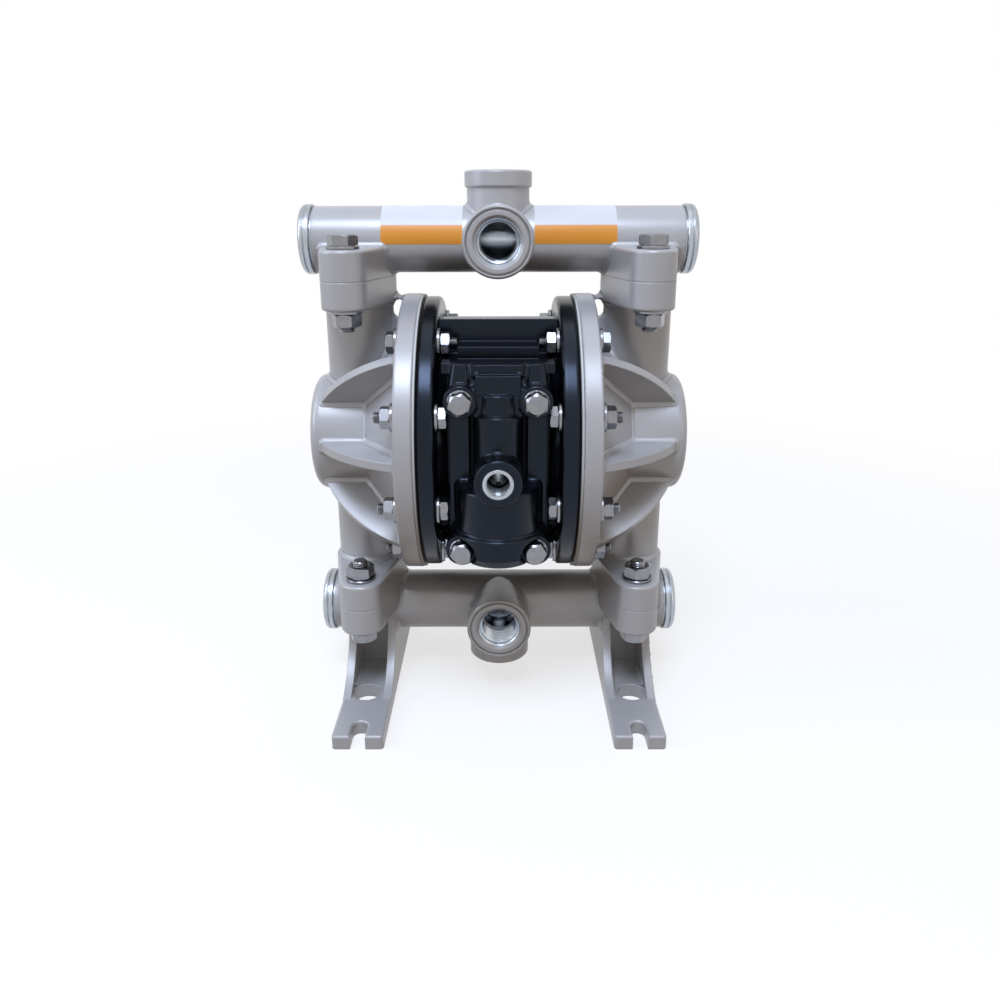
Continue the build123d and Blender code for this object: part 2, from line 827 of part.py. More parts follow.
# Centre body: block between the air caps, with the rod's and the pilot's bores
exhaust_face_y = body_back_y + exhaust_boss_t
bush_x = body_half - rod_seal_t - bush_length
pilot_bush_x = body_half - pilot_bush_length
with BuildPart() as centre_body:
    with Locations((0, (body_front_y + body_back_y) / 2, axis_z)):
        Box(2 * body_half, body_back_y - body_front_y, 2 * body_half_z)
    fillet(centre_body.edges().filter_by(Axis.X), body_edge_r)
    crown_width = 2 * (air_flange_x - crown_gap)
    with Locations((0, 0, axis_z + (crown_back_rise - crown_drop) / 2)):
        Box(crown_width, 2 * crown_half_y, crown_back_rise + crown_drop)
    with Locations((0, -crown_half_y, axis_z)):
        Box(crown_width, crown_ridge_t, crown_rise, align=BACK_AND_UP)
    with Locations((0, crown_shelf_y, axis_z)):
        Box(2 * crown_shelf_half_x, -crown_shelf_y, crown_shelf_rise, align=BACK_AND_UP)
    with Locations(Plane(origin=(0, body_back_y - body_edge_r, axis_z), z_dir=(0, 1, 0))):
        Cylinder(exhaust_boss_r, exhaust_boss_t + body_edge_r, align=LOW)
    for side in sides:
        with Locations(Plane(origin=(side * body_half, 0, axis_z), z_dir=(side, 0, 0))):
            Cylinder(hub_recess_r, air_hub_depth + gasket_t, align=LOW, mode=Mode.SUBTRACT)
        with Locations(Plane(origin=(side * body_half, 0, axis_z), z_dir=(-side, 0, 0))):
            Cylinder(rod_r + bush_wall, rod_seal_t + bush_length, align=LOW, mode=Mode.SUBTRACT)
        with Locations(Plane(origin=(side * body_half, 0, axis_z + pilot_rise), z_dir=(-side, 0, 0))):
            Cylinder(pilot_r + pilot_bush_wall, pilot_bush_length, align=LOW, mode=Mode.SUBTRACT)
        with Locations(*air_screw_holes(side * body_half, -side)):
            Cylinder(air_screw_r + thread_clear, air_screw_length, align=LOW, mode=Mode.SUBTRACT)
    with Locations(Plane(origin=(0, 0, axis_z), z_dir=(1, 0, 0))):
        Cylinder(rod_r + hole_clear, 2 * body_half, mode=Mode.SUBTRACT)
    with Locations(Plane(origin=(0, 0, axis_z + pilot_rise), z_dir=(1, 0, 0))):
        Cylinder(pilot_r + hole_clear, 2 * body_half, mode=Mode.SUBTRACT)
    with Locations(Plane(origin=(0, exhaust_face_y, axis_z), z_dir=(0, -1, 0))):
        Cylinder(silencer_stem_r + thread_clear, silencer_stem, align=LOW, mode=Mode.SUBTRACT)
    with Locations(*cover_holes(body_front_y, 1)):
        Cylinder(m6_r + thread_clear, cover_bolt_length - boss_reach, align=LOW, mode=Mode.SUBTRACT)
save(centre_body, "centre_body")

# Bushes and seals that carry the two rods
with BuildPart() as rod_bush_right:
    with Locations(Plane(origin=(bush_x, 0, axis_z), z_dir=(1, 0, 0))):
        add(ring(rod_r + bush_wall - thread_clear, rod_r + rod_clear, bush_length))
save_pair(rod_bush_right, "rod_bush")

with BuildPart() as rod_seals:
    for side in sides:
        with Locations(Plane(origin=(side * body_half, 0, axis_z), z_dir=(-side, 0, 0))):
            add(ring(rod_r + rod_seal_wall, rod_r + rod_clear, rod_seal_t - seal_clear))
save(rod_seals, "rod_seals")

with BuildPart() as pilot_bushes:
    for side in sides:
        with Locations(Plane(origin=(side * body_half, 0, axis_z + pilot_rise), z_dir=(-side, 0, 0))):
            add(ring(pilot_r + pilot_bush_wall - thread_clear, pilot_r + pilot_clear, pilot_bush_length))
save(pilot_bushes, "pilot_bushes")

# Diaphragm rod with its plates, screws and diaphragms
with BuildPart() as diaphragm_rod:
    with Locations(Plane(origin=(0, 0, axis_z), z_dir=(1, 0, 0))):
        Cylinder(rod_r, 2 * rod_end_x)
    for side in sides:
        with Locations(Plane(origin=(side * rod_end_x, 0, axis_z), z_dir=(-side, 0, 0))):
            Cylinder(m8_r + screw_clear, screw_engage + seal_clear, align=LOW, mode=Mode.SUBTRACT)
save(diaphragm_rod, "diaphragm_rod")

plate_hole_r = m8_r + screw_clear
with BuildPart() as air_side_plate_right:
    revolve(
        face_of(
            [
                (rod_end_x, plate_hole_r),
                (rod_end_x, plate_r - air_plate_t / 2),
                (rod_end_x + air_plate_t / 2, plate_r),
                (disc_in_x, plate_r),
                (disc_in_x, plate_hole_r),
            ]
        ),
        axis=diaphragm_axis,
    )
save_pair(air_side_plate_right, "air_side_plate")

with BuildPart() as fluid_side_plate_right:
    revolve(
        face_of(
            [
                (disc_out_x, plate_hole_r),
                (disc_out_x, fluid_plate_r),
                (disc_out_x + fluid_plate_t / 3, fluid_plate_r),
                (disc_out_x + fluid_plate_t, fluid_plate_r / 2),
                (disc_out_x + fluid_plate_t, plate_hole_r),
            ]
        ),
        axis=diaphragm_axis,
    )
save_pair(fluid_side_plate_right, "fluid_side_plate")

with BuildPart() as diaphragm_screws:
    screw_length = fluid_plate_t + disc_t + air_plate_t + screw_engage
    for side in sides:
        with Locations(Plane(origin=(side * (disc_out_x + fluid_plate_t), 0, axis_z), z_dir=(-side, 0, 0))):
            add(hex_bolt(m8_r, screw_length, m8_head_af, m8_head_h))
save(diaphragm_screws, "diaphragm_screws")

with BuildPart() as diaphragm_right:
    middle_r = (disc_r + cavity_r) / 2
    with BuildSketch(axial):
        with BuildLine():
            outer_peak = (disc_mid_x + bulge_reach + rim_t / 2, middle_r)
            inner_peak = (disc_mid_x + bulge_reach - rim_t / 2, middle_r)
            outer = ThreePointArc((fluid_x, cavity_r - rim_t), outer_peak, (disc_out_x, disc_r))
            inner = ThreePointArc((disc_in_x, disc_r), inner_peak, (rim_x, cavity_r - rim_t))
            Polyline(outer @ 1, (disc_out_x, plate_hole_r), (disc_in_x, plate_hole_r), inner @ 0)
            Polyline(inner @ 1, (rim_x, flange_r - rim_inset), (fluid_x, flange_r - rim_inset), outer @ 0)
        make_face()
    revolve(axis=diaphragm_axis)
    with Locations(*chamber_holes(rim_x)):
        Cylinder(m6_r + hole_clear, rim_t, align=LOW, mode=Mode.SUBTRACT)
save_pair(diaphragm_right, "diaphragm")

# Chamber bolts through air cap, diaphragm and fluid cap
chamber_grip = fluid_flange_x - air_flange_x
bolt_reach = chamber_grip + 2 * m6_washer_t + m6_nut_h + m6_stub
head_planes, _ = chamber_planes(air_flange_x - m6_washer_t, fluid_flange_x + m6_washer_t)
_, nut_planes = chamber_planes(air_flange_x - m6_washer_t - m6_nut_h, fluid_flange_x + m6_washer_t + m6_nut_h)
inner_washers, outer_washers = chamber_planes(air_flange_x - m6_washer_t, fluid_flange_x + m6_washer_t)
with BuildPart() as chamber_bolts:
    with Locations(*head_planes):
        add(hex_bolt(m6_r, bolt_reach, m6_head_af, m6_head_h))
save(chamber_bolts, "chamber_bolts")

with BuildPart() as chamber_nuts:
    with Locations(*nut_planes):
        add(hex_nut(m6_r, m6_head_af, m6_nut_h))
save(chamber_nuts, "chamber_nuts")

with BuildPart() as chamber_washers:
    with Locations(*inner_washers, *outer_washers):
        add(ring(m6_washer_r, m6_r + hole_clear, m6_washer_t))
save(chamber_washers, "chamber_washers")

# Pilot rod that the diaphragm plates push at each end of the stroke
with BuildPart() as pilot_rod:
    with Locations(Plane(origin=(0, 0, axis_z + pilot_rise), z_dir=(1, 0, 0))):
        Cylinder(pilot_r, 2 * pilot_half)
        add(ring(pilot_r, pilot_waist_r, pilot_bush_length), mode=Mode.SUBTRACT)
save(pilot_rod, "pilot_rod")

# Air valve: cover with spool bore, inlet boss and bolt bosses
bore_r = sleeve_bore_r + sleeve_wall + sleeve_clear
bore_length = sleeve_top - base_bottom
cover_plane = Plane(origin=(0, cover_y, axis_z), x_dir=(1, 0, 0), z_dir=(0, -1, 0))


def valve_drum(radius, bottom, top, edge_r, rims=1):
    """Upright drum on the valve axis with a rounded upper rim, or both rims."""
    with BuildPart() as part:
        with Locations((0, valve_y, axis_z + bottom)):
            Cylinder(radius, top - bottom, align=LOW)
        fillet(part.edges().filter_by(GeomType.CIRCLE).sort_by(Axis.Z)[-rims:], edge_r)
    return part.part


def boss_rib():
    """Rib that narrows and slants from an upper bolt boss back to the cover's top."""
    side = Plane(origin=(0, cover_y, axis_z), x_dir=(0, -1, 0), z_dir=(-1, 0, 0))
    with BuildPart() as part:
        with BuildSketch(side):
            with BuildLine():
                Polyline(
                    (0, boss_top),
                    (boss_reach - boss_rib_inset, boss_top),
                    (boss_rib_top_reach, cover_top),
                    (0, cover_top),
                    close=True,
                )
            make_face()
        extrude(amount=boss_rib_half, both=True)
        with BuildSketch(cover_plane):
            with BuildLine():
                Polyline(
                    (-boss_rib_half, boss_top),
                    (boss_rib_half, boss_top),
                    (boss_rib_top_half, cover_top),
                    (-boss_rib_top_half, cover_top),
                    close=True,
                )
            make_face()
        extrude(amount=boss_reach, mode=Mode.INTERSECT)
        front = part.faces().sort_by(Axis.Y)[0]
        fillet(front.edges().filter_by(Axis.X, reverse=True), boss_rib_round)
    return part.part


with BuildPart() as valve_cover:
    with Locations((0, cover_y, axis_z + (cover_top + cover_bottom) / 2)):
        Box(2 * cover_half_x, cover_t, cover_top - cover_bottom, align=FORWARD)
    fillet(valve_cover.edges().filter_by(Axis.Y), cover_edge_r)
    for half_x, reach in ((ledge_half_x, ledge_reach), (brow_half_x, brow_reach)):
        with Locations((0, cover_y, axis_z + cover_top)):
            Box(2 * half_x, reach, ledge_t, align=(Align.CENTER, Align.MAX, Align.MAX))
    with Locations((-boss_x, 0, 0), (boss_x, 0, 0)):
        add(boss_rib())
    with Locations(*cover_holes(cover_y, -1)):
        add(blended_boss(boss_r, boss_reach, boss_edge_r))
    with BuildSketch(cover_plane):
        with BuildLine():
            Polyline(
                (-pad_half_x, pad_bottom),
                (-pad_half_x, pad_top),
                (pad_half_x, pad_top),
                (pad_half_x, pad_bottom),
            )
            ThreePointArc((pad_half_x, pad_bottom), (0, pad_bottom - pad_sag), (-pad_half_x, pad_bottom))
        make_face()
    extrude(amount=pad_reach)
    add(valve_drum(neck_small_r, tower_top, pad_bottom, tower_edge_r))
    add(valve_drum(tower_r, tower_bottom, tower_top, tower_edge_r))
    add(valve_drum(bulge_r, bulge_bottom, tower_bottom, bulge_edge_r))
    add(valve_drum(band_r, bulge_bottom - band_t, bulge_bottom, band_edge_r, rims=2))
    with Locations((0, valve_y, axis_z + base_bottom)):
        Cone(base_bottom_r, base_top_r, bulge_bottom - band_t - base_bottom, align=LOW)
    with Locations(Plane(origin=(0, valve_y, axis_z + inlet_z), z_dir=(0, -1, 0))):
        add(blended_boss(inlet_boss_r, valve_y - inlet_face_y, inlet_boss_edge))
    with Locations((0, cover_y, axis_z)):
        Box(body_width, -cover_y, body_width, align=BACKWARD, mode=Mode.SUBTRACT)
    with Locations((0, valve_y, axis_z + base_bottom)):
        Cylinder(bore_r, bore_length, align=LOW, mode=Mode.SUBTRACT)
    with Locations(Plane(origin=(0, inlet_face_y, axis_z + inlet_z), z_dir=(0, 1, 0))):
        Cylinder(insert_r + insert_clear, insert_length, align=LOW, mode=Mode.SUBTRACT)
        Cylinder(air_passage_r, valve_y - inlet_face_y, align=LOW, mode=Mode.SUBTRACT)
    with Locations(*cover_holes(cover_y - boss_reach, -1)):
        Cylinder(spotface_r, boss_reach, align=LOW, mode=Mode.SUBTRACT)
        Cylinder(m6_r + hole_clear, boss_reach, align=HIGH, mode=Mode.SUBTRACT)
save(valve_cover, "valve_cover")

with BuildPart() as valve_cover_gasket:
    with Locations((0, cover_y, axis_z)):
        Box(
            2 * (cover_half_x - gasket_t),
            cover_gasket_t,
            2 * (body_half_z - gasket_t),
            align=BACKWARD,
        )
    with Locations(*cover_holes(cover_y, 1)):
        Cylinder(m6_r + hole_clear, cover_gasket_t, align=LOW, mode=Mode.SUBTRACT)
save(valve_cover_gasket, "valve_cover_gasket")

with BuildPart() as valve_cover_bolts:
    with Locations(*cover_holes(cover_y - boss_reach, 1)):
        Cylinder(m6_r, cover_bolt_length, align=LOW)
        Cylinder(cover_flange_r, cover_flange_t, align=HIGH)
        add(hex_bolt(m6_r, cover_flange_t, cover_head_af, cover_head_h))
save(valve_cover_bolts, "valve_cover_bolts")

with BuildPart() as air_inlet_insert:
    with Locations(Plane(origin=(0, inlet_face_y, axis_z + inlet_z), z_dir=(0, 1, 0))):
        add(ring(insert_r, insert_bore_r, insert_length))
save(air_inlet_insert, "air_inlet_insert")

# Valve sleeve, spool and plug on the vertical valve axis
plug_top_z = axis_z + base_bottom + valve_plug_t
sleeve_length = bore_length - valve_plug_t
with BuildPart() as valve_plug:
    with Locations((0, valve_y, axis_z + base_bottom)):
        Cylinder(bore_r - sleeve_clear, valve_plug_t, align=LOW)
        add(hex_prism(valve_plug_socket, valve_plug_t / 2), mode=Mode.SUBTRACT)
save(valve_plug, "valve_plug")

with BuildPart() as valve_sleeve:
    with Locations((0, valve_y, plug_top_z)):
        add(ring(bore_r - sleeve_clear, sleeve_bore_r, sleeve_length))
    for step in (-1, 0, 1):
        port_z = plug_top_z + sleeve_length / 2 + step * spool_port_pitch
        with Locations(Plane(origin=(0, valve_y, port_z), z_dir=(0, 1, 0))):
            Cylinder(spool_port_r, 2 * bore_r, mode=Mode.SUBTRACT)
save(valve_sleeve, "valve_sleeve")

spool_r = sleeve_bore_r - spool_clear
spool_length = sleeve_length - spool_travel - 2 * spool_end_gap
spool_z = plug_top_z + spool_end_gap
land_pitch = (spool_length - spool_land) / 2
with BuildPart() as valve_spool:
    with Locations((0, valve_y, spool_z)):
        Cylinder(spool_r, spool_length, align=LOW)
    for i in range(2):
        with Locations((0, valve_y, spool_z + spool_land + i * land_pitch)):
            add(ring(spool_r, spool_waist_r, land_pitch - spool_land), mode=Mode.SUBTRACT)
    for i in range(3):
        with Locations((0, valve_y, spool_z + (spool_land - spool_ring_d) / 2 + i * land_pitch)):
            add(ring(spool_r, spool_r - spool_ring_d, spool_ring_d + seal_clear), mode=Mode.SUBTRACT)
save(valve_spool, "valve_spool")

with BuildPart() as spool_seals:
    for i in range(3):
        with Locations((0, valve_y, spool_z + (spool_land + seal_clear) / 2 + i * land_pitch)):
            add(seal(spool_r - spool_ring_d / 2, spool_ring_d))
save(spool_seals, "spool_seals")

# Exhaust silencer on the back
with BuildPart() as silencer:
    with Locations(Plane(origin=(0, exhaust_face_y, axis_z), z_dir=(0, -1, 0))):
        Cylinder(silencer_stem_r, silencer_stem, align=LOW)
    with Locations(Plane(origin=(0, exhaust_face_y, axis_z), z_dir=(0, 1, 0))):
        add(hex_prism(silencer_hex_af, silencer_hex_t))
        Cylinder(silencer_r, silencer_hex_t + silencer_length, align=LOW)
    fillet(silencer.edges().filter_by(GeomType.CIRCLE).sort_by(Axis.Y)[-1], silencer_round)
save(silencer, "silencer")
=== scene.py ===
import json
import math

import bmesh
import bpy
import numpy
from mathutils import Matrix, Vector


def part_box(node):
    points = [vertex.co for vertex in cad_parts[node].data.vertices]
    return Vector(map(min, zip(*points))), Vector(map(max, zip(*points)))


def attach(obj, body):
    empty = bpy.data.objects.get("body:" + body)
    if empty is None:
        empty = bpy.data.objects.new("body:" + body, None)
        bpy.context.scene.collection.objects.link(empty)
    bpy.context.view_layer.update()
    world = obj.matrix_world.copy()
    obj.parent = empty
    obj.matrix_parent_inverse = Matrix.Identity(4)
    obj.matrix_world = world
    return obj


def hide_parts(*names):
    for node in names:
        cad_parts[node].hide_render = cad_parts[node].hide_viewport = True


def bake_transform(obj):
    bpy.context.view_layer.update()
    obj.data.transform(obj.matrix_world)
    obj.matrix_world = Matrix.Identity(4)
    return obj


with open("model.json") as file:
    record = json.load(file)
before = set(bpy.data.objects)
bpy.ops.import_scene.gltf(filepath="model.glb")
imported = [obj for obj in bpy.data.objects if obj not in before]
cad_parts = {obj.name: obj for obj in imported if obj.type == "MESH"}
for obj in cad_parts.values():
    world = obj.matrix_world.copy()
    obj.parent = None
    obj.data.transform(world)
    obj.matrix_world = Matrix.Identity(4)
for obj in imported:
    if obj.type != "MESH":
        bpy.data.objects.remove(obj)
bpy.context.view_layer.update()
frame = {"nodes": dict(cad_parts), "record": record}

import openvdb
from mathutils import Matrix, Vector

mm = 0.001
nodes = frame["nodes"]
slotOf = {part["node"]: part["material_slot"] for part in frame["record"]["subparts"]}
sideNames = {1: "Right", -1: "Left"}
print("frame loaded:", len(nodes), "nodes")


# Places that the frame gives: the pipe axes and the axis through the two chambers
def boxOf(name):
    low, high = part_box(name)
    return Vector(low), Vector(high)


def middleOf(name):
    low, high = boxOf(name)
    return (low + high) / 2


upperPipeZ = middleOf("upper_end_cap_left").z
lowerPipeZ = middleOf("lower_end_cap_left").z
axisZ = (upperPipeZ + lowerPipeZ) / 2


# Materials. A Mix node's sockets go by number: 2 and 3 take its numbers, 6 and 7 its colours, and it gives
# a number at output 0 and a colour at output 2
def hexColour(code):   # sRGB hex code to a linear colour with alpha
    levels = [int(code[i:i + 2], 16) / 255 for i in (1, 3, 5)]
    return [v / 12.92 if v <= 0.04045 else ((v + 0.055) / 1.055) ** 2.4 for v in levels] + [1.0]


white = hexColour("#FFFFFF")


def addNode(tree, kind, inputs=None, **settings):   # settings first, then values and links of the inputs
    node = tree.nodes.new(kind)
    for key, value in settings.items():
        setattr(node, key, value)
    for key, value in (inputs or {}).items():
        if isinstance(value, bpy.types.NodeSocket):
            tree.links.new(value, node.inputs[key])
        else:
            node.inputs[key].default_value = value
    return node


def newMaterial(name, colour):
    material = bpy.data.materials.new(name)
    material.use_nodes = True
    material.node_tree.nodes.clear()
    material.diffuse_color = hexColour(colour)
    return material, material.node_tree


edgeStarts, edgeFull = 0.985, 0.80   # cosine of the normals' angle where the painted edge highlight starts and where it is full


def edgeMask(tree, bevel):   # 1 along edges, where the rounded normal leaves the flat one
    plain = addNode(tree, "ShaderNodeNewGeometry")
    dot = addNode(tree, "ShaderNodeVectorMath", {0: bevel.outputs[0], 1: plain.outputs["Normal"]},
                  operation="DOT_PRODUCT")
    return addNode(tree, "ShaderNodeMapRange", {"Value": dot.outputs["Value"], "From Min": edgeStarts,
                   "From Max": edgeFull, "To Min": 0.0, "To Max": 1.0}, clamp=True)


# Cut walls of a manifold in mm: round its pipe's axis, and round its front port's axis as far as Y = portEnd
boreLook = {"pipeRadius": 15.0, "portRadius": 11.2, "portEnd": -10}


def insideBores(tree, place, pipeZ):   # 1 on the cut walls, 0 on the cast skin
    axes = addNode(tree, "ShaderNodeSeparateXYZ", {0: place}).outputs
    rise = addNode(tree, "ShaderNodeMath", {0: axes["Z"], 1: pipeZ}, operation="SUBTRACT").outputs[0]
    inside = []
    for across, radius in ((axes["Y"], boreLook["pipeRadius"]), (axes["X"], boreLook["portRadius"])):
        flat = addNode(tree, "ShaderNodeCombineXYZ", {"X": across, "Y": rise}).outputs[0]
        reach = addNode(tree, "ShaderNodeVectorMath", {0: flat}, operation="LENGTH").outputs["Value"]
        within = addNode(tree, "ShaderNodeMath", {0: reach, 1: radius * mm}, operation="LESS_THAN")
        inside.append(within.outputs[0])
    inFront = addNode(tree, "ShaderNodeMath", {0: axes["Y"], 1: boreLook["portEnd"] * mm},
                      operation="LESS_THAN").outputs[0]
    port = addNode(tree, "ShaderNodeMath", {0: inside[1], 1: inFront}, operation="MULTIPLY").outputs[0]
    return addNode(tree, "ShaderNodeMath", {0: inside[0], 1: port}, operation="MAXIMUM").outputs[0]


castSpread, turnedSpread = (-0.05, 0.05), (-0.06, 0.08)   # how far the roughness wanders from its mean
markDepth = 0.05   # height of the tool marks in mm
bevelSamples = 4


def castSurface(name, look, pipeZ=None):   # cast or moulded skin: mottled colour, fine grain, and a painted highlight along the edges
    material, tree = newMaterial(name, look["colour"])
    place = addNode(tree, "ShaderNodeTexCoord").outputs["Object"]
    mottle = addNode(tree, "ShaderNodeTexNoise", {"Vector": place, "Scale": 1 / (look["mottleSize"] * mm),
                     "Detail": 3.0, "Roughness": 0.55})
    grain = addNode(tree, "ShaderNodeTexNoise", {"Vector": place, "Scale": 1 / (look["grainSize"] * mm),
                    "Detail": 2.0, "Roughness": 0.6})
    bevel = addNode(tree, "ShaderNodeBevel", {"Radius": look["edgeRadius"] * mm}, samples=bevelSamples)
    mask = edgeMask(tree, bevel)
    body = addNode(tree, "ShaderNodeMix", {"Factor": mottle.outputs["Fac"], 6: hexColour(look["colour"]),
                   7: hexColour(look["colourDark"])}, data_type="RGBA")
    # Painted highlight: the edges are mixed towards a paler colour, the same all round
    edge = addNode(tree, "ShaderNodeMath", {0: mask.outputs[0], 1: look["edgeHighlight"]}, operation="MULTIPLY")
    edgeLit = addNode(tree, "ShaderNodeMix", {"Factor": edge.outputs[0], 6: body.outputs[2],
                   7: hexColour(look["edgeHighlightColour"])}, data_type="RGBA")
    rough = addNode(tree, "ShaderNodeMapRange", {"Value": mottle.outputs["Fac"],
                    "To Min": look["roughness"] + castSpread[0], "To Max": look["roughness"] + castSpread[1]})
    bump = addNode(tree, "ShaderNodeBump", {"Height": grain.outputs["Fac"], "Strength": look["grainStrength"],
                   "Distance": look["grainDepth"] * mm, "Normal": bevel.outputs[0]})
    colour, metallic, roughness = edgeLit.outputs[2], look["metallic"], rough.outputs[0]
    if pipeZ is not None:
        bored = insideBores(tree, place, pipeZ)
        colour = addNode(tree, "ShaderNodeMix", {"Factor": bored, 6: colour,
                         7: hexColour(look["colourBored"])}, data_type="RGBA").outputs[2]
        metallic = addNode(tree, "ShaderNodeMix", {"Factor": bored, 2: look["metallic"], 3: 1.0}).outputs[0]
        roughness = addNode(tree, "ShaderNodeMix", {"Factor": bored, 2: roughness,
                            3: look["roughBored"]}).outputs[0]
    # Specular Tint colours the reflections: white leaves them plain, a cool tint gives painted bluish
    # reflections
    shader = addNode(tree, "ShaderNodeBsdfPrincipled", {"Base Color": colour, "Metallic": metallic,
                     "Roughness": roughness, "IOR": look["ior"], "Specular IOR Level": look["gloss"],
                     "Specular Tint": hexColour(look["reflectionTint"]), "Normal": bump.outputs[0]})
    addNode(tree, "ShaderNodeOutputMaterial", {"Surface": shader.outputs[0]})
    return material


def turnedSurface(name, look):   # metal or plastic with fine tool marks and slightly uneven gloss
    material, tree = newMaterial(name, look["colour"])
    place = addNode(tree, "ShaderNodeTexCoord").outputs["Object"]
    cloud = addNode(tree, "ShaderNodeTexNoise", {"Vector": place, "Scale": 1 / (look["cloudSize"] * mm),
                    "Detail": 3.0})
    marks = addNode(tree, "ShaderNodeTexNoise", {"Vector": place, "Scale": 1 / (look["markSize"] * mm),
                    "Detail": 1.0})
    colour = addNode(tree, "ShaderNodeMix", {"Factor": cloud.outputs["Fac"], 6: hexColour(look["colour"]),
                     7: hexColour(look["colourDark"])}, data_type="RGBA")
    rough = addNode(tree, "ShaderNodeMapRange", {"Value": cloud.outputs["Fac"],
                    "To Min": look["roughness"] + turnedSpread[0],
                    "To Max": look["roughness"] + turnedSpread[1]})
    bevel = addNode(tree, "ShaderNodeBevel", {"Radius": look["edgeRadius"] * mm}, samples=bevelSamples)
    bump = addNode(tree, "ShaderNodeBump", {"Height": marks.outputs["Fac"], "Strength": look["markStrength"],
                   "Distance": markDepth * mm, "Normal": bevel.outputs[0]})
    shader = addNode(tree, "ShaderNodeBsdfPrincipled", {"Base Color": colour.outputs[2],
                     "Metallic": look["metallic"], "Roughness": rough.outputs[0], "IOR": look["ior"],
                     "Normal": bump.outputs[0]})
    addNode(tree, "ShaderNodeOutputMaterial", {"Surface": shader.outputs[0]})
    return material


def labelSurface(name, look):   # blank sticker: white above, a plain band along its lower edge
    material, tree = newMaterial(name, look["white"])
    place = addNode(tree, "ShaderNodeUVMap", uv_map="labelFace").outputs[0]
    height = addNode(tree, "ShaderNodeSeparateXYZ", {0: place}).outputs["Y"]
    inBand = addNode(tree, "ShaderNodeMath", {0: height, 1: look["bandShare"]}, operation="LESS_THAN")
    colour = addNode(tree, "ShaderNodeMix", {"Factor": inBand.outputs[0], 6: hexColour(look["white"]),
                     7: hexColour(look["band"])}, data_type="RGBA")
    shader = addNode(tree, "ShaderNodeBsdfPrincipled", {"Base Color": colour.outputs[2],
                     "Roughness": look["roughness"], "IOR": look["ior"]})
    addNode(tree, "ShaderNodeOutputMaterial", {"Surface": shader.outputs[0]})
    return material


# Sizes of the patterns are in mm. Blasting grain, orange peel and tool marks are drawn coarser than the real
# ones, which would be too fine to show

# Pressure-cast aluminium, shot blasted: a soft plain grey sheen, fine grain, a painted highlight on its edges,
# bright where bored
castingLook = {"colour": "#BFBEBE", "colourDark": "#B4B3B3", "edgeHighlightColour": "#D6D6D6", "metallic": 0.16,
               "roughness": 0.35, "ior": 1.5, "gloss": 0.7, "reflectionTint": "#FFFFFF", "mottleSize": 30,
               "grainSize": 0.9, "grainDepth": 0.12, "grainStrength": 0.35, "edgeRadius": 1.0,
               "edgeHighlight": 0.45, "colourBored": "#CCD3DC", "roughBored": 0.24}
# Glass-filled nylon, moulded and polished: deep blue-black with a hint of orange peel, a painted blue tint on
# its reflections and a painted bluish highlight along its edges
nylonLook = {"colour": "#090A0E", "colourDark": "#0D0F14", "edgeHighlightColour": "#252B36", "metallic": 0.0,
             "roughness": 0.24, "ior": 1.53, "gloss": 0.34, "reflectionTint": "#C6D7F4", "mottleSize": 18,
             "grainSize": 1.6, "grainDepth": 0.10, "grainStrength": 0.22, "edgeRadius": 0.9, "edgeHighlight": 0.3}
# Turned steel with bright zinc plating: shiny, with a cool tint
zincLook = {"colour": "#BBC0C6", "colourDark": "#A2A7AE", "metallic": 1.0, "roughness": 0.27, "ior": 1.5,
            "cloudSize": 9, "markSize": 0.35, "markStrength": 0.15, "edgeRadius": 0.4}
# Turned steel with dull zinc plating: pale and nearly matt
dullZincLook = {"colour": "#C6CBD1", "colourDark": "#B4B9C0", "metallic": 0.3, "roughness": 0.45, "ior": 1.5,
                "cloudSize": 6, "markSize": 0.35, "markStrength": 0.15, "edgeRadius": 0.4}
# Stainless steel, cold headed: a shiny mid grey
stainlessLook = {"colour": "#96969A", "colourDark": "#7F8084", "metallic": 1.0, "roughness": 0.24, "ior": 1.5,
                 "cloudSize": 3, "markSize": 0.3, "markStrength": 0.12, "edgeRadius": 0.2}
# Aluminium as cut by the tap: brighter and shinier than the blasted skin around it
cutLook = {"colour": "#BDC2C9", "colourDark": "#A6ABB2", "metallic": 1.0, "roughness": 0.34, "ior": 1.5,
           "cloudSize": 8, "markSize": 0.4, "markStrength": 0.15, "edgeRadius": 0.2}
# Acetal, machined: waxy white
acetalLook = {"colour": "#E4E2DA", "colourDark": "#D9D6CC", "metallic": 0.0, "roughness": 0.42, "ior": 1.48,
              "cloudSize": 12, "markSize": 0.4, "markStrength": 0.1, "edgeRadius": 0.2}
# Nitrile rubber, moulded: matt near black
rubberLook = {"colour": "#1A1A1B", "colourDark": "#232324", "metallic": 0.0, "roughness": 0.7, "ior": 1.52,
              "cloudSize": 6, "markSize": 0.5, "markStrength": 0.2, "edgeRadius": 0.2}
# PTFE, skived and pressed: plain pale white with low gloss
ptfeLook = {"colour": "#D9DAD8", "colourDark": "#CDCECB", "metallic": 0.0, "roughness": 0.45, "ior": 1.38,
            "cloudSize": 15, "markSize": 0.6, "markStrength": 0.1, "edgeRadius": 0.2}
# Sintered bronze: grainy, dull and porous, with a painted highlight on its edges
bronzeLook = {"colour": "#A4875A", "colourDark": "#7C6442", "edgeHighlightColour": "#BFA373", "metallic": 0.8,
              "roughness": 0.55, "ior": 1.5, "gloss": 0.5, "reflectionTint": "#FFFFFF", "mottleSize": 2.0,
              "grainSize": 0.8, "grainDepth": 0.3, "grainStrength": 0.9, "edgeRadius": 0.4, "edgeHighlight": 0.3}
# Blank vinyl sticker: satin white with an orange band
vinylLook = {"white": "#E4E5E6", "band": "#F2A034", "bandShare": 0.33, "roughness": 0.42, "ior": 1.53}

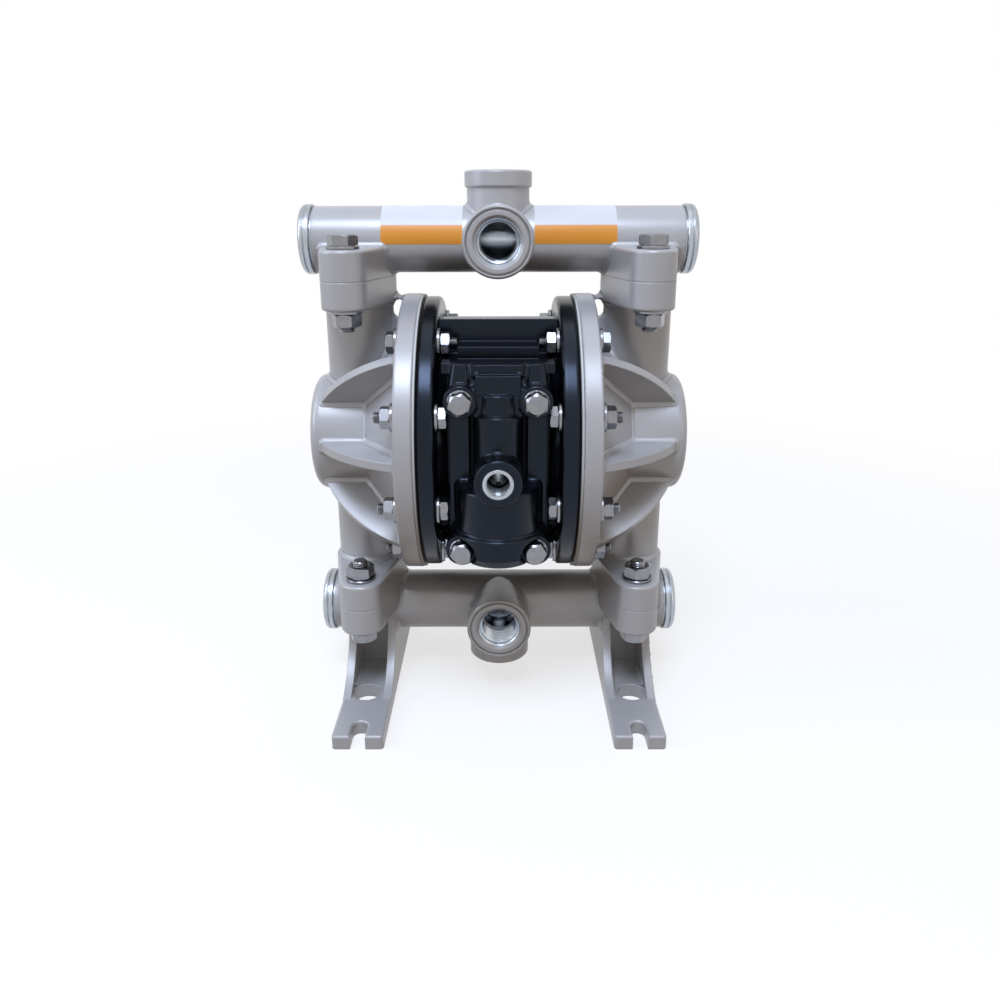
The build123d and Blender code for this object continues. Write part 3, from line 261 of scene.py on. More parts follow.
castAluminium = castSurface("shotBlastedAluminium", castingLook)
upperCasting = castSurface("shotBlastedAndBoredUpper", castingLook, upperPipeZ)
lowerCasting = castSurface("shotBlastedAndBoredLower", castingLook, lowerPipeZ)
blackNylon = castSurface("glossBlackNylon", nylonLook)
sinteredBronze = castSurface("sinteredBronze", bronzeLook)
zincPlate = turnedSurface("brightZincPlate", zincLook)
dullZinc = turnedSurface("dullZincPlate", dullZincLook)
stainless = turnedSurface("stainlessSteel", stainlessLook)
cutAluminium = turnedSurface("cutAluminium", cutLook)
acetal = turnedSurface("machinedAcetal", acetalLook)
nitrile = turnedSurface("nitrileRubber", rubberLook)
ptfe = turnedSurface("pressedPtfe", ptfeLook)
vinyl = labelSurface("blankVinylLabel", vinylLook)

finishOfSlot = {
    "cast_aluminium": castAluminium,
    "zinc_plated_cap": zincPlate,
    "black_nylon": blackNylon,
    "stainless_fastener": stainless,
    "turned_steel": zincPlate,
    "acetal": acetal,
    "seal_rubber": nitrile,
    "diaphragm_ptfe": ptfe,
    "plate_aluminium": zincPlate,
    "sintered_bronze": sinteredBronze,
}
finishOfNode = {"upper_manifold": upperCasting, "lower_manifold": lowerCasting}
for nodeName, slotName in slotOf.items():
    mesh = nodes[nodeName].data
    mesh.materials.clear()
    mesh.materials.append(finishOfNode.get(nodeName, finishOfSlot[slotName]))
print("finishes laid on the frame's nodes")


# Meshes built from rings of points
def meshObject(name, build, material, sharpAbove=30):   # build fills a bmesh; the object stays at the origin
    shape = bmesh.new()
    build(shape)
    bmesh.ops.recalc_face_normals(shape, faces=shape.faces)
    mesh = bpy.data.meshes.new(name)
    shape.to_mesh(mesh)
    shape.free()
    mesh.shade_smooth()
    mesh.set_sharp_from_angle(angle=math.radians(sharpAbove))
    mesh.materials.append(material)
    made = bpy.data.objects.new(name, mesh)
    bpy.context.scene.collection.objects.link(made)
    return made


def skinRings(shape, rings, capped=True):   # faces at both ends, or the last ring joined to the first
    rows = [[shape.verts.new(point) for point in ring] for ring in rings]
    count = len(rows[0])
    pairs = list(zip(rows, rows[1:])) + ([] if capped else [(rows[-1], rows[0])])
    for lower, upper in pairs:
        for i in range(count):
            j = (i + 1) % count
            shape.faces.new((lower[i], lower[j], upper[j], upper[i]))
    if capped:
        shape.faces.new(rows[0])
        shape.faces.new(rows[-1])


ringCount = 48       # points in a ring
mergeReach = 1e-6    # corners of a copied mesh that are nearer than this are one
headSlope = math.tan(math.radians(30))   # fall of a hexagon's chamfered face


def circleAt(radius, z):
    turns = [2 * math.pi * i / ringCount for i in range(ringCount)]
    return [Vector((radius * math.cos(a), radius * math.sin(a), z)) * mm for a in turns]


def hexAt(acrossFlats, z, fall=None):   # fall: the circle outside which the face falls away, and how strongly
    points = []
    for i in range(ringCount):
        a = 2 * math.pi * i / ringCount
        side = math.radians((math.degrees(a) + 30) % 60 - 30)
        radius = acrossFlats / 2 / math.cos(side)
        drop = 0 if fall is None else max(0.0, radius - fall[0]) * headSlope * fall[1]
        points.append(Vector((radius * math.cos(a), radius * math.sin(a), z + drop)) * mm)
    return points


# Thread profile: rings in one pitch, shares of half a pitch that its crest and its flank take, and the share
# of its depth that is left at its far end
threadForm = {"ringsEach": 8, "crest": 0.12, "flank": 0.76, "endShare": 0.3}


def threadRings(major, pitch, depth, start, end, chamfer):   # helical ridge from start to end along Z
    form = threadForm
    steps = max(2, round((end - start) / pitch * form["ringsEach"]))
    rings = []
    for k in range(steps + 1):
        z = start + (end - start) * k / steps
        fade = min(1.0, (z - start) / pitch, (end - z) / pitch + form["endShare"])
        rim = max(0.0, chamfer - (end - z))
        ring = []
        for i in range(ringCount):
            a = 2 * math.pi * i / ringCount
            wave = abs(2 * ((z / pitch - i / ringCount) % 1) - 1)
            groove = depth * fade * min(1.0, max(0.0, (wave - form["crest"]) / form["flank"]))
            radius = major - max(groove, rim)
            ring.append(Vector((radius * math.cos(a), radius * math.sin(a), z)) * mm)
        rings.append(ring)
    return rings


# Fasteners: detailed prototypes that Geometry Nodes set at the places of the frame's plain ones
def islandsOf(name):   # corners of each loose body in a node
    shape = bmesh.new()
    shape.from_mesh(nodes[name].data)
    bmesh.ops.remove_doubles(shape, verts=shape.verts, dist=mergeReach)
    seen, found = set(), []
    for first in shape.verts:
        if first in seen:
            continue
        seen.add(first)
        waiting, island = [first], []
        while waiting:
            vert = waiting.pop()
            island.append(vert.co.copy())
            for edge in vert.link_edges:
                other = edge.other_vert(vert)
                if other not in seen:
                    seen.add(other)
                    waiting.append(other)
        found.append(island)
    shape.free()
    return found


def placesOf(name, axis, headed):   # middle or head end of each body, the way it points, and their length
    places = []
    for island in islandsOf(name):
        low = Vector([min(p[i] for p in island) for i in range(3)])
        high = Vector([max(p[i] for p in island) for i in range(3)])
        middle = (low + high) / 2
        direction = Vector([0.0, 0.0, 0.0])
        direction[axis] = 1.0
        if headed:
            others = [i for i in range(3) if i != axis]
            widest = max(island, key=lambda p: sum((p[i] - middle[i]) ** 2 for i in others))
            if widest[axis] > middle[axis]:
                direction = -direction
            middle[axis] = high[axis] if direction[axis] < 0 else low[axis]
        places.append((middle, direction))
    return places, (high[axis] - low[axis]) / mm


def fastenerTree():
    tree = bpy.data.node_groups.new("fastenersAtPlaces", "GeometryNodeTree")
    for label, kind in (("Places", "NodeSocketGeometry"), ("Prototype", "NodeSocketObject"),
                        ("Largest Turn", "NodeSocketFloat"), ("Seed", "NodeSocketInt"),
                        ("Finish", "NodeSocketMaterial")):
        tree.interface.new_socket(label, in_out="INPUT", socket_type=kind)
    tree.interface.new_socket("Fasteners", in_out="OUTPUT", socket_type="NodeSocketGeometry")
    given = addNode(tree, "NodeGroupInput").outputs
    points = addNode(tree, "GeometryNodeMeshToPoints", {"Mesh": given["Places"]})
    along = addNode(tree, "GeometryNodeInputNamedAttribute", {"Name": "direction"}, data_type="FLOAT_VECTOR")
    aligned = addNode(tree, "FunctionNodeAlignRotationToVector", {"Vector": along.outputs[0]}, axis="Z")
    spin = addNode(tree, "FunctionNodeRandomValue", {3: given["Largest Turn"], "Seed": given["Seed"]},
                   data_type="FLOAT")
    ownTurn = addNode(tree, "FunctionNodeAxisAngleToRotation", {"Axis": (0, 0, 1), "Angle": spin.outputs[1]})
    turned = addNode(tree, "FunctionNodeRotateRotation", {0: aligned.outputs[0], 1: ownTurn.outputs[0]},
                     rotation_space="LOCAL")
    prototype = addNode(tree, "GeometryNodeObjectInfo", {"Object": given["Prototype"]})
    placed = addNode(tree, "GeometryNodeInstanceOnPoints", {"Points": points.outputs[0],
                     "Instance": prototype.outputs["Geometry"], "Rotation": turned.outputs[0]})
    real = addNode(tree, "GeometryNodeRealizeInstances", {0: placed.outputs[0]})
    painted = addNode(tree, "GeometryNodeSetMaterial", {"Geometry": real.outputs[0],
                      "Material": given["Finish"]})
    addNode(tree, "NodeGroupOutput", {0: painted.outputs[0]})
    return tree


placingTree = fastenerTree()
largestTurn = 60   # degrees that a fastener may be turned about its own axis


def setFasteners(name, look):
    places, length = placesOf(look["node"], look["axis"], look["headed"])
    prototype = meshObject(name + "Prototype", lambda shape: look["build"](shape, look, length), stainless)
    holder = bpy.data.meshes.new(name)
    holder.from_pydata([place for place, direction in places], [], [])
    attribute = holder.attributes.new("direction", "FLOAT_VECTOR", "POINT")
    for i, (place, direction) in enumerate(places):
        attribute.data[i].vector = direction
    made = bpy.data.objects.new(name, holder)
    bpy.context.scene.collection.objects.link(made)
    modifier = made.modifiers.new("placing", "NODES")
    modifier.node_group = placingTree
    values = {"Prototype": prototype, "Largest Turn": math.radians(largestTurn), "Seed": look["seed"],
              "Finish": stainless}
    for item in placingTree.interface.items_tree:
        if item.in_out == "INPUT" and item.name in values:
            modifier[item.identifier] = values[item.name]
    bpy.context.view_layer.update()
    mesh = bpy.data.meshes.new_from_object(made.evaluated_get(bpy.context.evaluated_depsgraph_get()))
    made.modifiers.clear()
    made.data = mesh
    mesh.name = name
    bpy.data.objects.remove(prototype)
    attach(made, "pump")
    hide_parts(look["node"])
    print(name, len(places), "set")


# What the fasteners share: the flat top's radius as a share of the width across flats, the chamfer at a
# bolt's tip, the room round the bolt in a nut and in a washer, and the countersink of a nut
fastenerForm = {"crown": 0.47, "tipChamfer": 0.8, "nutRoom": 0.02, "washerRoom": 0.4, "sink": 0.5}


def hexBolt(shape, look, length):   # head from Z = 0 to headHeight, shank and thread above it
    flats, top = look["flats"], fastenerForm["crown"] * look["flats"]
    height, radius = look["headHeight"], look["radius"]
    rings = [circleAt(top, 0), hexAt(flats, 0, (top, 1)), hexAt(flats, height - look["washerFace"]),
             circleAt(top, height - look["washerFace"]), circleAt(top, height), circleAt(radius, height)]
    rings += threadRings(radius, look["pitch"], look["threadDepth"], length - look["threadLength"], length,
                         fastenerForm["tipChamfer"])
    skinRings(shape, rings)


def flangedBolt(shape, look, length):   # hexagon with a dished top on a conical flange
    flats, top = look["flats"], look["crown"] * look["flats"]
    height, radius, flange = look["headHeight"], look["radius"], look["flangeRadius"]
    foot = height - look["flangeThick"]
    rings = [circleAt(top * share, z) for share, z in look["dish"]]
    rings += [circleAt(top, 0), hexAt(flats, look["brow"], (top, look["browFall"])),
              hexAt(flats, foot - look["skirt"]), circleAt(flats * look["root"], foot - look["rootRise"]),
              circleAt(flange - look["bevel"], height - look["bevelRise"]),
              circleAt(flange, height - look["rim"]), circleAt(flange, height), circleAt(radius, height),
              circleAt(radius, length)]
    skinRings(shape, rings)


def hexNut(shape, look, length):   # chamfered outside and countersunk at both faces
    flats, top = look["flats"], fastenerForm["crown"] * look["flats"]
    half, bore, sink = length / 2, look["radius"] + fastenerForm["nutRoom"], fastenerForm["sink"]
    rings = [circleAt(top, -half), hexAt(flats, -half, (top, 1)), hexAt(flats, half, (top, -1)),
             circleAt(top, half), circleAt(bore + sink, half), circleAt(bore, half - sink),
             circleAt(bore, sink - half), circleAt(bore + sink, -half)]
    skinRings(shape, rings, capped=False)


def washerDisc(shape, look, length):
    half, outer, edge = length / 2, look["outer"], look["edge"]
    bore = look["radius"] + fastenerForm["washerRoom"]
    rings = [circleAt(outer - edge, -half), circleAt(outer, edge - half), circleAt(outer, half - edge),
             circleAt(outer - edge, half), circleAt(bore, half), circleAt(bore, -half)]
    skinRings(shape, rings, capped=False)


fastenerLooks = {
    "chamberBolts": {"node": "chamber_bolts", "build": hexBolt, "axis": 0, "headed": True, "seed": 4,
                     "flats": 10.0, "headHeight": 4.2, "washerFace": 0.3, "radius": 3.0, "pitch": 1.0,
                     "threadDepth": 0.6, "threadLength": 11},
    "chamberNuts": {"node": "chamber_nuts", "build": hexNut, "axis": 0, "headed": False, "seed": 9,
                    "flats": 10.0, "radius": 3.0},
    "chamberWashers": {"node": "chamber_washers", "build": washerDisc, "axis": 0, "headed": False, "seed": 1,
                       "outer": 7.2, "radius": 3.0, "edge": 0.25},
    "clampBolts": {"node": "manifold_bolts", "build": hexBolt, "axis": 2, "headed": True, "seed": 6,
                   "flats": 13.0, "headHeight": 5.3, "washerFace": 0.4, "radius": 4.0, "pitch": 1.25,
                   "threadDepth": 0.75, "threadLength": 12},
    "clampNuts": {"node": "manifold_nuts", "build": hexNut, "axis": 2, "headed": False, "seed": 2,
                  "flats": 13.0, "radius": 4.0},
    "clampWashers": {"node": "manifold_washers", "build": washerDisc, "axis": 2, "headed": False, "seed": 3,
                     "outer": 8.0, "radius": 4.0, "edge": 0.3},
    "coverBolts": {"node": "valve_cover_bolts", "build": flangedBolt, "axis": 1, "headed": True, "seed": 8,
                   "flats": 10.0, "headHeight": 7.2, "flangeThick": 1.6, "flangeRadius": 7.0, "radius": 3.0,
                   "crown": 0.43, "dish": ((0.70, 0.3), (0.82, 0.05)), "brow": 0.1, "browFall": 1.4,
                   "skirt": 1.4, "root": 0.56, "rootRise": 0.5, "bevel": 0.5, "bevelRise": 1.2, "rim": 0.8},
}
for fastenerName, fastenerLook in fastenerLooks.items():
    setFasteners(fastenerName, fastenerLook)


# Fillets of the castings and mouldings: the solid is swollen and shrunk again by the radius, which fills its
# inner corners with round blends, and only the blends on its outer side are kept. Forms are in mm: the flange
# from the fluid cap's inner face, its hub and neck from the flange's outer face, and the rest from the axes
capForm = {"flange": 9.4, "hub": 19.9, "neck": 24.4, "coneRadius": 58.0, "hubRadius": 32.0, "wall": 3,
           "neckBore": 15, "neckFrom": 20, "boltCircle": 66.5, "boltAngles": (20.5, 56.5, 123.5, 159.5),
           "washer": 8.2, "washerReach": 9}
manifoldForm = {"bore": 14, "neckBore": 15, "ringFront": -27, "ringHalf": 25, "collarRise": 24, "end": 20.4,
                "boltY": 40, "washer": 8.6, "sole": 1}
coverForm = {"front": -84.5, "back": -51.2, "spoolY": -61.5, "spoolBore": 10.5, "inletZ": -3.2,
             "inletMouth": 9, "inletBack": -70, "boltX": 18, "boltZs": (32.6, -42.0), "boltHead": 7.6,
             "headBack": -71, "boltHole": 4.2}
flangeX = boxOf("fluid_cap_right")[0].x / mm + capForm["flange"]
hubX, neckX = flangeX + capForm["hub"], flangeX + capForm["neck"]


def outsideCap(x, y, z):   # clear of the washers and of the hollows
    form = capForm
    x, z = abs(x), z - axisZ / mm
    alongCone = numpy.clip((x - flangeX) / (hubX - flangeX), 0, 1)
    shell = form["coneRadius"] + (form["hubRadius"] - form["coneRadius"]) * alongCone
    keep = (x > flangeX - 0.1) & (numpy.hypot(y, z) > shell - form["wall"])
    keep &= (abs(z) < form["neckFrom"]) | (numpy.hypot(x - neckX, y) > form["neckBore"])
    for angle in form["boltAngles"]:
        boltY = -form["boltCircle"] * math.cos(math.radians(angle))
        for sign in (1, -1):
            boltZ = sign * form["boltCircle"] * math.sin(math.radians(angle))
            keep &= (numpy.hypot(y - boltY, z - boltZ) > form["washer"]) | (x > flangeX + form["washerReach"])
    return keep


def outsideManifold(x, y, z, pipeZ, up):   # clear of the bores, both ports and the clamp bolts
    form = manifoldForm
    rise, fromNeck = (z - pipeZ) * up, abs(x) - neckX
    keep = (numpy.hypot(y, rise) > form["bore"]) & (numpy.hypot(fromNeck, y) > form["neckBore"])
    keep &= (y > form["ringFront"]) | (abs(x) > form["ringHalf"])
    keep &= ~((rise > form["collarRise"]) & (abs(x) < form["ringHalf"]))
    keep &= (numpy.hypot(x, y) > form["bore"]) & (numpy.hypot(x, rise) > form["bore"])
    keep &= abs(x) < neckX + form["end"]
    return keep & (numpy.hypot(fromNeck, abs(y) - form["boltY"]) > form["washer"])


def upperOutside(x, y, z):
    return outsideManifold(x, y, z, upperPipeZ / mm, 1)


def lowerOutside(x, y, z):   # clear of the soles of the feet too
    return outsideManifold(x, y, z, lowerPipeZ / mm, -1) & (z > manifoldForm["sole"])


def outsideCover(x, y, z):   # front of the cover, clear of the bolts, the inlet's mouth and the spool's bore
    form = coverForm
    z = z - axisZ / mm
    keep = (y < form["back"]) & (y > form["front"])
    keep &= numpy.hypot(x, y - form["spoolY"]) > form["spoolBore"]
    keep &= (numpy.hypot(x, z - form["inletZ"]) > form["inletMouth"]) | (y > form["inletBack"])
    for boltZ in form["boltZs"]:
        fromBolt = numpy.hypot(abs(x) - form["boltX"], z - boltZ)
        keep &= ((fromBolt > form["boltHead"]) | (y > form["headBack"])) & (fromBolt > form["boltHole"])
    return keep


filletLooks = {
    "capFillets": {"node": "fluid_cap_right", "radius": 2.6, "voxel": 0.5, "keep": outsideCap},
    "upperFillets": {"node": "upper_manifold", "radius": 2.2, "voxel": 0.5, "keep": upperOutside},
    "lowerFillets": {"node": "lower_manifold", "radius": 2.2, "voxel": 0.5, "keep": lowerOutside},
    "coverFillets": {"node": "valve_cover", "radius": 1.8, "voxel": 0.4, "keep": outsideCover},
}
filletEdge, filletShell = 0.07, 0.35   # how far a blend's border lies above the solid, how thick its shell is
filletSharp = 60   # degrees between faces above which an edge of a blend stays sharp
spareCells = 3     # cells that a field keeps beyond the form


def heightAbove(field, voxel, places):   # distance of points from the solid, read between the field's cells
    low = numpy.floor(places.min(axis=0) / voxel).astype(int) - spareCells
    high = numpy.ceil(places.max(axis=0) / voxel).astype(int) + spareCells
    cells = numpy.zeros(tuple(high - low), dtype=numpy.float32)
    field.copyToArray(cells, ijk=tuple(int(v) for v in low))
    spot = places / voxel - low
    base = numpy.floor(spot).astype(int)
    part = spot - base
    total = numpy.zeros(len(places))
    for corner in range(8):
        step = numpy.array([corner & 1, (corner >> 1) & 1, (corner >> 2) & 1])
        share = numpy.prod(numpy.where(step, part, 1 - part), axis=1)
        at = base + step
        total += share * cells[at[:, 0], at[:, 1], at[:, 2]]
    return total


def castFillets(name, look):
    source = nodes[look["node"]].data
    source.calc_loop_triangles()
    places = numpy.empty(len(source.vertices) * 3, dtype=numpy.float32)
    source.vertices.foreach_get("co", places)
    corners = numpy.empty(len(source.loop_triangles) * 3, dtype=numpy.int32)
    source.loop_triangles.foreach_get("vertices", corners)
    radius, voxel = look["radius"], look["voxel"]
    lattice = openvdb.createLinearTransform(voxelSize=voxel)
    band = radius / voxel + spareCells
    solid = openvdb.FloatGrid.createLevelSetFromPolygons(
        (places.reshape(-1, 3) / mm).astype(numpy.float32),
        triangles=corners.reshape(-1, 3).astype(numpy.uint32),
        transform=lattice, exBandWidth=band, inBandWidth=spareCells)
    swollen = solid.convertToPolygons(radius)
    shrunk = openvdb.FloatGrid.createLevelSetFromPolygons(
        swollen[0], triangles=swollen[1], quads=swollen[2],
        transform=lattice, exBandWidth=spareCells, inBandWidth=band)
    skin, triangles, quads = shrunk.convertToPolygons(-radius)
    height = heightAbove(solid, voxel, skin)
    kept = (height > filletEdge) & look["keep"](skin[:, 0], skin[:, 1], skin[:, 2])
    patches = quads[kept[quads].all(axis=1)]
    used, order = numpy.unique(patches, return_inverse=True)
    print(name, len(skin), "skin points,", len(patches), "kept faces")

    def build(shape, side):
        corners = [shape.verts.new((side * x * mm, y * mm, z * mm)) for x, y, z in skin[used].tolist()]
        for face in order.reshape(-1, 4).tolist():
            shape.faces.new([corners[i] for i in face])
        bmesh.ops.recalc_face_normals(shape, faces=shape.faces)
        bmesh.ops.solidify(shape, geom=shape.faces[:], thickness=filletShell * mm)

    slotName = slotOf[look["node"]]
    twin = look["node"].endswith("_right")   # the left one has the same fillets, mirrored
    for side in (1, -1) if twin else (1,):
        made = meshObject(name + sideNames[side] if twin else name,
                          lambda shape: build(shape, side), finishOfSlot[slotName], sharpAbove=filletSharp)
        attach(made, "pump")


for filletName, filletLook in filletLooks.items():
    castFillets(filletName, filletLook)


# End caps with a shadow gap at the pipe, a grooved rim and a hexagonal socket, in mm from the pipe's end
endCapLook = {"spigot": 11.4, "spigotLength": 8.8, "spigotEdge": 0.6, "hub": 16.0, "gap": 0.9, "rim": 17.85,
              "rimEdge": 0.4, "groove": ((0, 3.2), (0.35, 3.5), (0.35, 3.8), (0, 4.1)), "round": 2.5,
              "roundSteps": 6, "height": 6.8, "lip": 4.2, "step": 0.3, "face": 6.0, "socket": 12.0,
              "socketEdge": 0.6, "socketDepth": 5.0}
endCapNodes = ("upper_end_cap_left", "upper_end_cap_right", "lower_end_cap_left", "lower_end_cap_right")


def turnEndCap(name, look):
    low, high = boxOf(name)
    side = 1 if high.x > 0 else -1
    pipeEnd = (high.x if side > 0 else -low.x) / mm - look["height"]

    def build(shape):
        spigot, inner, edge = look["spigot"], -look["spigotLength"], look["spigotEdge"]
        rim, gap, rimEdge, bend = look["rim"], look["gap"], look["rimEdge"], look["round"]
        face = look["height"] - look["step"]
        profile = [(spigot - edge, inner), (spigot, edge + inner), (spigot, 0.0), (look["hub"], 0.0),
                   (look["hub"], gap), (rim - rimEdge, gap), (rim, gap + rimEdge)]
        profile += [(rim - depth, z) for depth, z in look["groove"]]
        turns = [math.radians(90 * k / look["roundSteps"]) for k in range(look["roundSteps"] + 1)]
        profile += [(rim - bend + bend * math.cos(a), look["height"] - bend + bend * math.sin(a)) for a in turns]
        profile += [(rim - look["lip"], look["height"]), (rim - look["lip"] - look["step"], face),
                    (rim - look["face"], face)]
        rings = [circleAt(radius, z) for radius, z in profile]
        rings += [hexAt(look["socket"] + look["socketEdge"], face),
                  hexAt(look["socket"], face - look["step"]),
                  hexAt(look["socket"], face - look["socketDepth"])]
        skinRings(shape, rings)
        turn = Matrix.Rotation(math.radians(90 * side), 4, "Y")
        place = Vector((side * pipeEnd * mm, 0, middleOf(name).z))
        bmesh.ops.transform(shape, matrix=Matrix.Translation(place) @ turn, verts=shape.verts)

    made = meshObject(name.replace("_end_cap_", "EndCap"), build, zincPlate)
    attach(made, "pump")
    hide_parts(name)


for endCapName in endCapNodes:
    turnEndCap(endCapName, endCapLook)
print("end caps turned")


# Blank labels on the upper pipe, wrapped from its front over its top: edges in degrees, spans in mm along X
labelLook = {"pipeRadius": 16.9, "lift": 0.01, "thick": 0.12, "lowEdge": -6.0, "highEdge": 92.0, "steps": 40,
             "spans": {"labelLeft": (-59.5, -18.2), "labelRight": (18.5, 60.2)}}


def wrapLabel(name, look):
    fromX, toX = look["spans"][name]
    inner = look["pipeRadius"] + look["lift"]
    outer = inner + look["thick"]
    lowEdge, sweep = look["lowEdge"], look["highEdge"] - look["lowEdge"]

    def build(shape):
        rings = []
        for k in range(look["steps"] + 1):
            angle = math.radians(lowEdge + sweep * k / look["steps"])
            rings.append([Vector((x, -r * math.cos(angle), r * math.sin(angle))) * mm
                          + Vector((0, 0, upperPipeZ))
                          for x, r in ((fromX, inner), (toX, inner), (toX, outer), (fromX, outer))])
        skinRings(shape, rings)
        face = shape.loops.layers.uv.new("labelFace")
        for polygon in shape.faces:
            for loop in polygon.loops:
                place = loop.vert.co
                angle = math.degrees(math.atan2(place.z - upperPipeZ, -place.y))
                loop[face].uv = ((place.x / mm - fromX) / (toX - fromX), (angle - lowEdge) / sweep)

    made = meshObject(name, build, vinyl)
    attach(made, "pump")


for labelName in labelLook["spans"]:
    wrapLabel(labelName, labelLook)
print("labels wrapped")


# Plug in the upper collar: hexagonal socket above, and a cone below that shows inside the front port
plugLook = {"socket": 12.0, "socketDepth": 9.0, "socketEdge": 0.6, "socketBevel": 0.3, "edge": 0.8,
            "tipRadius": 3.5, "tipRise": 4.2, "tipBevel": 0.3, "tipFace": 3.3}


def turnPlug(name, node, look):
    low, high = boxOf(node)
    radius, top = (high.x - low.x) / 2 / mm, high.z / mm
    tip = top - upperPipeZ / mm - look["tipRise"]
    socket, edge, tipBevel = look["socket"], look["edge"], look["tipBevel"]

    def build(shape):
        skinRings(shape, [hexAt(socket, look["socketDepth"]), hexAt(socket, look["socketBevel"]),
                          hexAt(socket + look["socketEdge"], 0), circleAt(radius - edge, 0),
                          circleAt(radius, edge), circleAt(radius, tip - radius + look["tipRadius"]),
                          circleAt(look["tipRadius"] + tipBevel, tip - tipBevel),
                          circleAt(look["tipFace"], tip)])
        place = Matrix.Translation((0, 0, high.z)) @ Matrix.Rotation(math.pi, 4, "X")
        bmesh.ops.transform(shape, matrix=place, verts=shape.verts)

    made = meshObject(name, build, dullZinc)
    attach(made, "pump")
    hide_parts(node)


turnPlug("outletPlug", "outlet_plug", plugLook)
print("plug turned")


# Diaphragms: a middle disc that goes with the rod, a fold in sectors between rod and housing, and
# a still rim
diaphragmLook = {"hole": 4.05, "discRadius": 29.0, "discThick": 2.2, "foldThick": 1.0, "foldRadius": 56.0,
                 "bulge": 5.0, "sectors": 8, "anglesEach": 6, "steps": 16, "rimMargin": 0.05}


def pieceOfDiaphragm(name, build, node):
    made = meshObject(name, build, ptfe)
    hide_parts(node)
    return made


def flexDiaphragm(side, node, look):
    airCap = boxOf(node.replace("diaphragm", "air_cap"))
    fluidCap = boxOf(node.replace("diaphragm", "fluid_cap"))
    airX = max(abs(airCap[0].x), abs(airCap[1].x))
    fluidX = min(abs(fluidCap[0].x), abs(fluidCap[1].x))
    middleX = side * (fluidX + airX) / 2 / mm
    disc, rim = look["discRadius"], look["foldRadius"]
    anglesRound, width = look["sectors"] * look["anglesEach"], 2 * math.pi / look["sectors"]
    label = sideNames[side]

    def placeAt(radius, angle, out):
        across, up = radius * math.cos(angle), axisZ / mm + radius * math.sin(angle)
        return Vector((middleX + side * out, across, up)) * mm

    def buildDisc(shape):
        half = look["discThick"] / 2
        turns = [2 * math.pi * i / anglesRound for i in range(anglesRound)]
        corners = ((look["hole"], -half), (disc, -half), (disc, half), (look["hole"], half))
        rings = [[placeAt(radius, a, out) for a in turns] for radius, out in corners]
        skinRings(shape, rings, capped=False)

    def buildSector(shape, first):
        rings = []
        for i in range(look["anglesEach"] + 1):
            angle = first + width * i / look["anglesEach"]
            lower, upper = [], []
            for k in range(look["steps"] + 1):
                t = k / look["steps"]
                thinning = (look["discThick"] - look["foldThick"]) * max(0.0, 1 - 2 * t)
                half = (look["foldThick"] + thinning) / 2
                out = look["bulge"] * math.sin(math.pi * t)
                lower.append(placeAt(disc + (rim - disc) * t, angle, out - half))
                upper.append(placeAt(disc + (rim - disc) * t, angle, out + half))
            rings.append(lower + upper[::-1])
        skinRings(shape, rings)

    def buildRim(shape):   # the solid's own faces outside the fold, closed along the cut
        shape.from_mesh(nodes[node].data)
        bmesh.ops.remove_doubles(shape, verts=shape.verts, dist=mergeReach)
        cut = (rim - look["rimMargin"]) * mm
        inner = [face for face in shape.faces
                 if min(math.hypot(v.co.y, v.co.z - axisZ) for v in face.verts) < cut]
        bmesh.ops.delete(shape, geom=inner, context="FACES")
        bmesh.ops.bridge_loops(shape, edges=[edge for edge in shape.edges if edge.is_boundary])

    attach(pieceOfDiaphragm("diaphragmDisc" + label, buildDisc, node), "rod")
    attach(pieceOfDiaphragm("diaphragmRim" + label, buildRim, node), "pump")
    for number in range(look["sectors"]):
        made = pieceOfDiaphragm("diaphragmFold" + label + str(number + 1),
                                lambda shape: buildSector(shape, number * width), node)
        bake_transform(made)


flexDiaphragm(1, "diaphragm_right", diaphragmLook)
flexDiaphragm(-1, "diaphragm_left", diaphragmLook)


# Threads inside the two front ports and the air inlet
portThread = {"outer": 10.46, "major": 10.44, "pitch": 1.814, "depth": 1.12, "start": 2.4, "end": 17.6,
              "slot": "cast_aluminium"}
portMouthY = -37.5
threadLooks = {
    "outletThread": {**portThread, "mouth": (0, portMouthY, upperPipeZ / mm), "finish": cutAluminium},
    "inletThread": {**portThread, "mouth": (0, portMouthY, lowerPipeZ / mm), "finish": lowerCasting},
    "airThread": {"outer": 5.71, "major": 5.70, "pitch": 1.337, "depth": 0.45, "start": 0.8, "end": 11.8,
                  "mouth": (0, boxOf("air_inlet_insert")[0].y / mm, middleOf("air_inlet_insert").z / mm),
                  "finish": zincPlate, "slot": "turned_steel"},
}


def cutThread(name, look):   # helical ridge on the wall of a bore that runs back from the mouth
    def build(shape):
        rings = threadRings(look["major"], look["pitch"], look["depth"], look["start"], look["end"], 0)
        rings += [circleAt(look["outer"], look["end"]), circleAt(look["outer"], look["start"])]
        skinRings(shape, rings, capped=False)
        turn = Matrix.Rotation(math.radians(-90), 4, "X")
        place = Matrix.Translation(Vector(look["mouth"]) * mm)
        bmesh.ops.transform(shape, matrix=place @ turn, verts=shape.verts)

    made = meshObject(name, build, look["finish"])
    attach(made, "pump")


for threadName, threadLook in threadLooks.items():
    cutThread(threadName, threadLook)
print("threads cut")


# Camera, fitted to the photograph's outlines. Its place is in mm, its angles are in degrees
cameraLook = {"place": (2.0, -443.1, 271.2), "down": 16.58, "turn": -0.174, "roll": -0.12,
              "focal": 29.43, "sensor": 36.0, "shiftY": -0.0516, "nearest": 0.01, "farthest": 60}


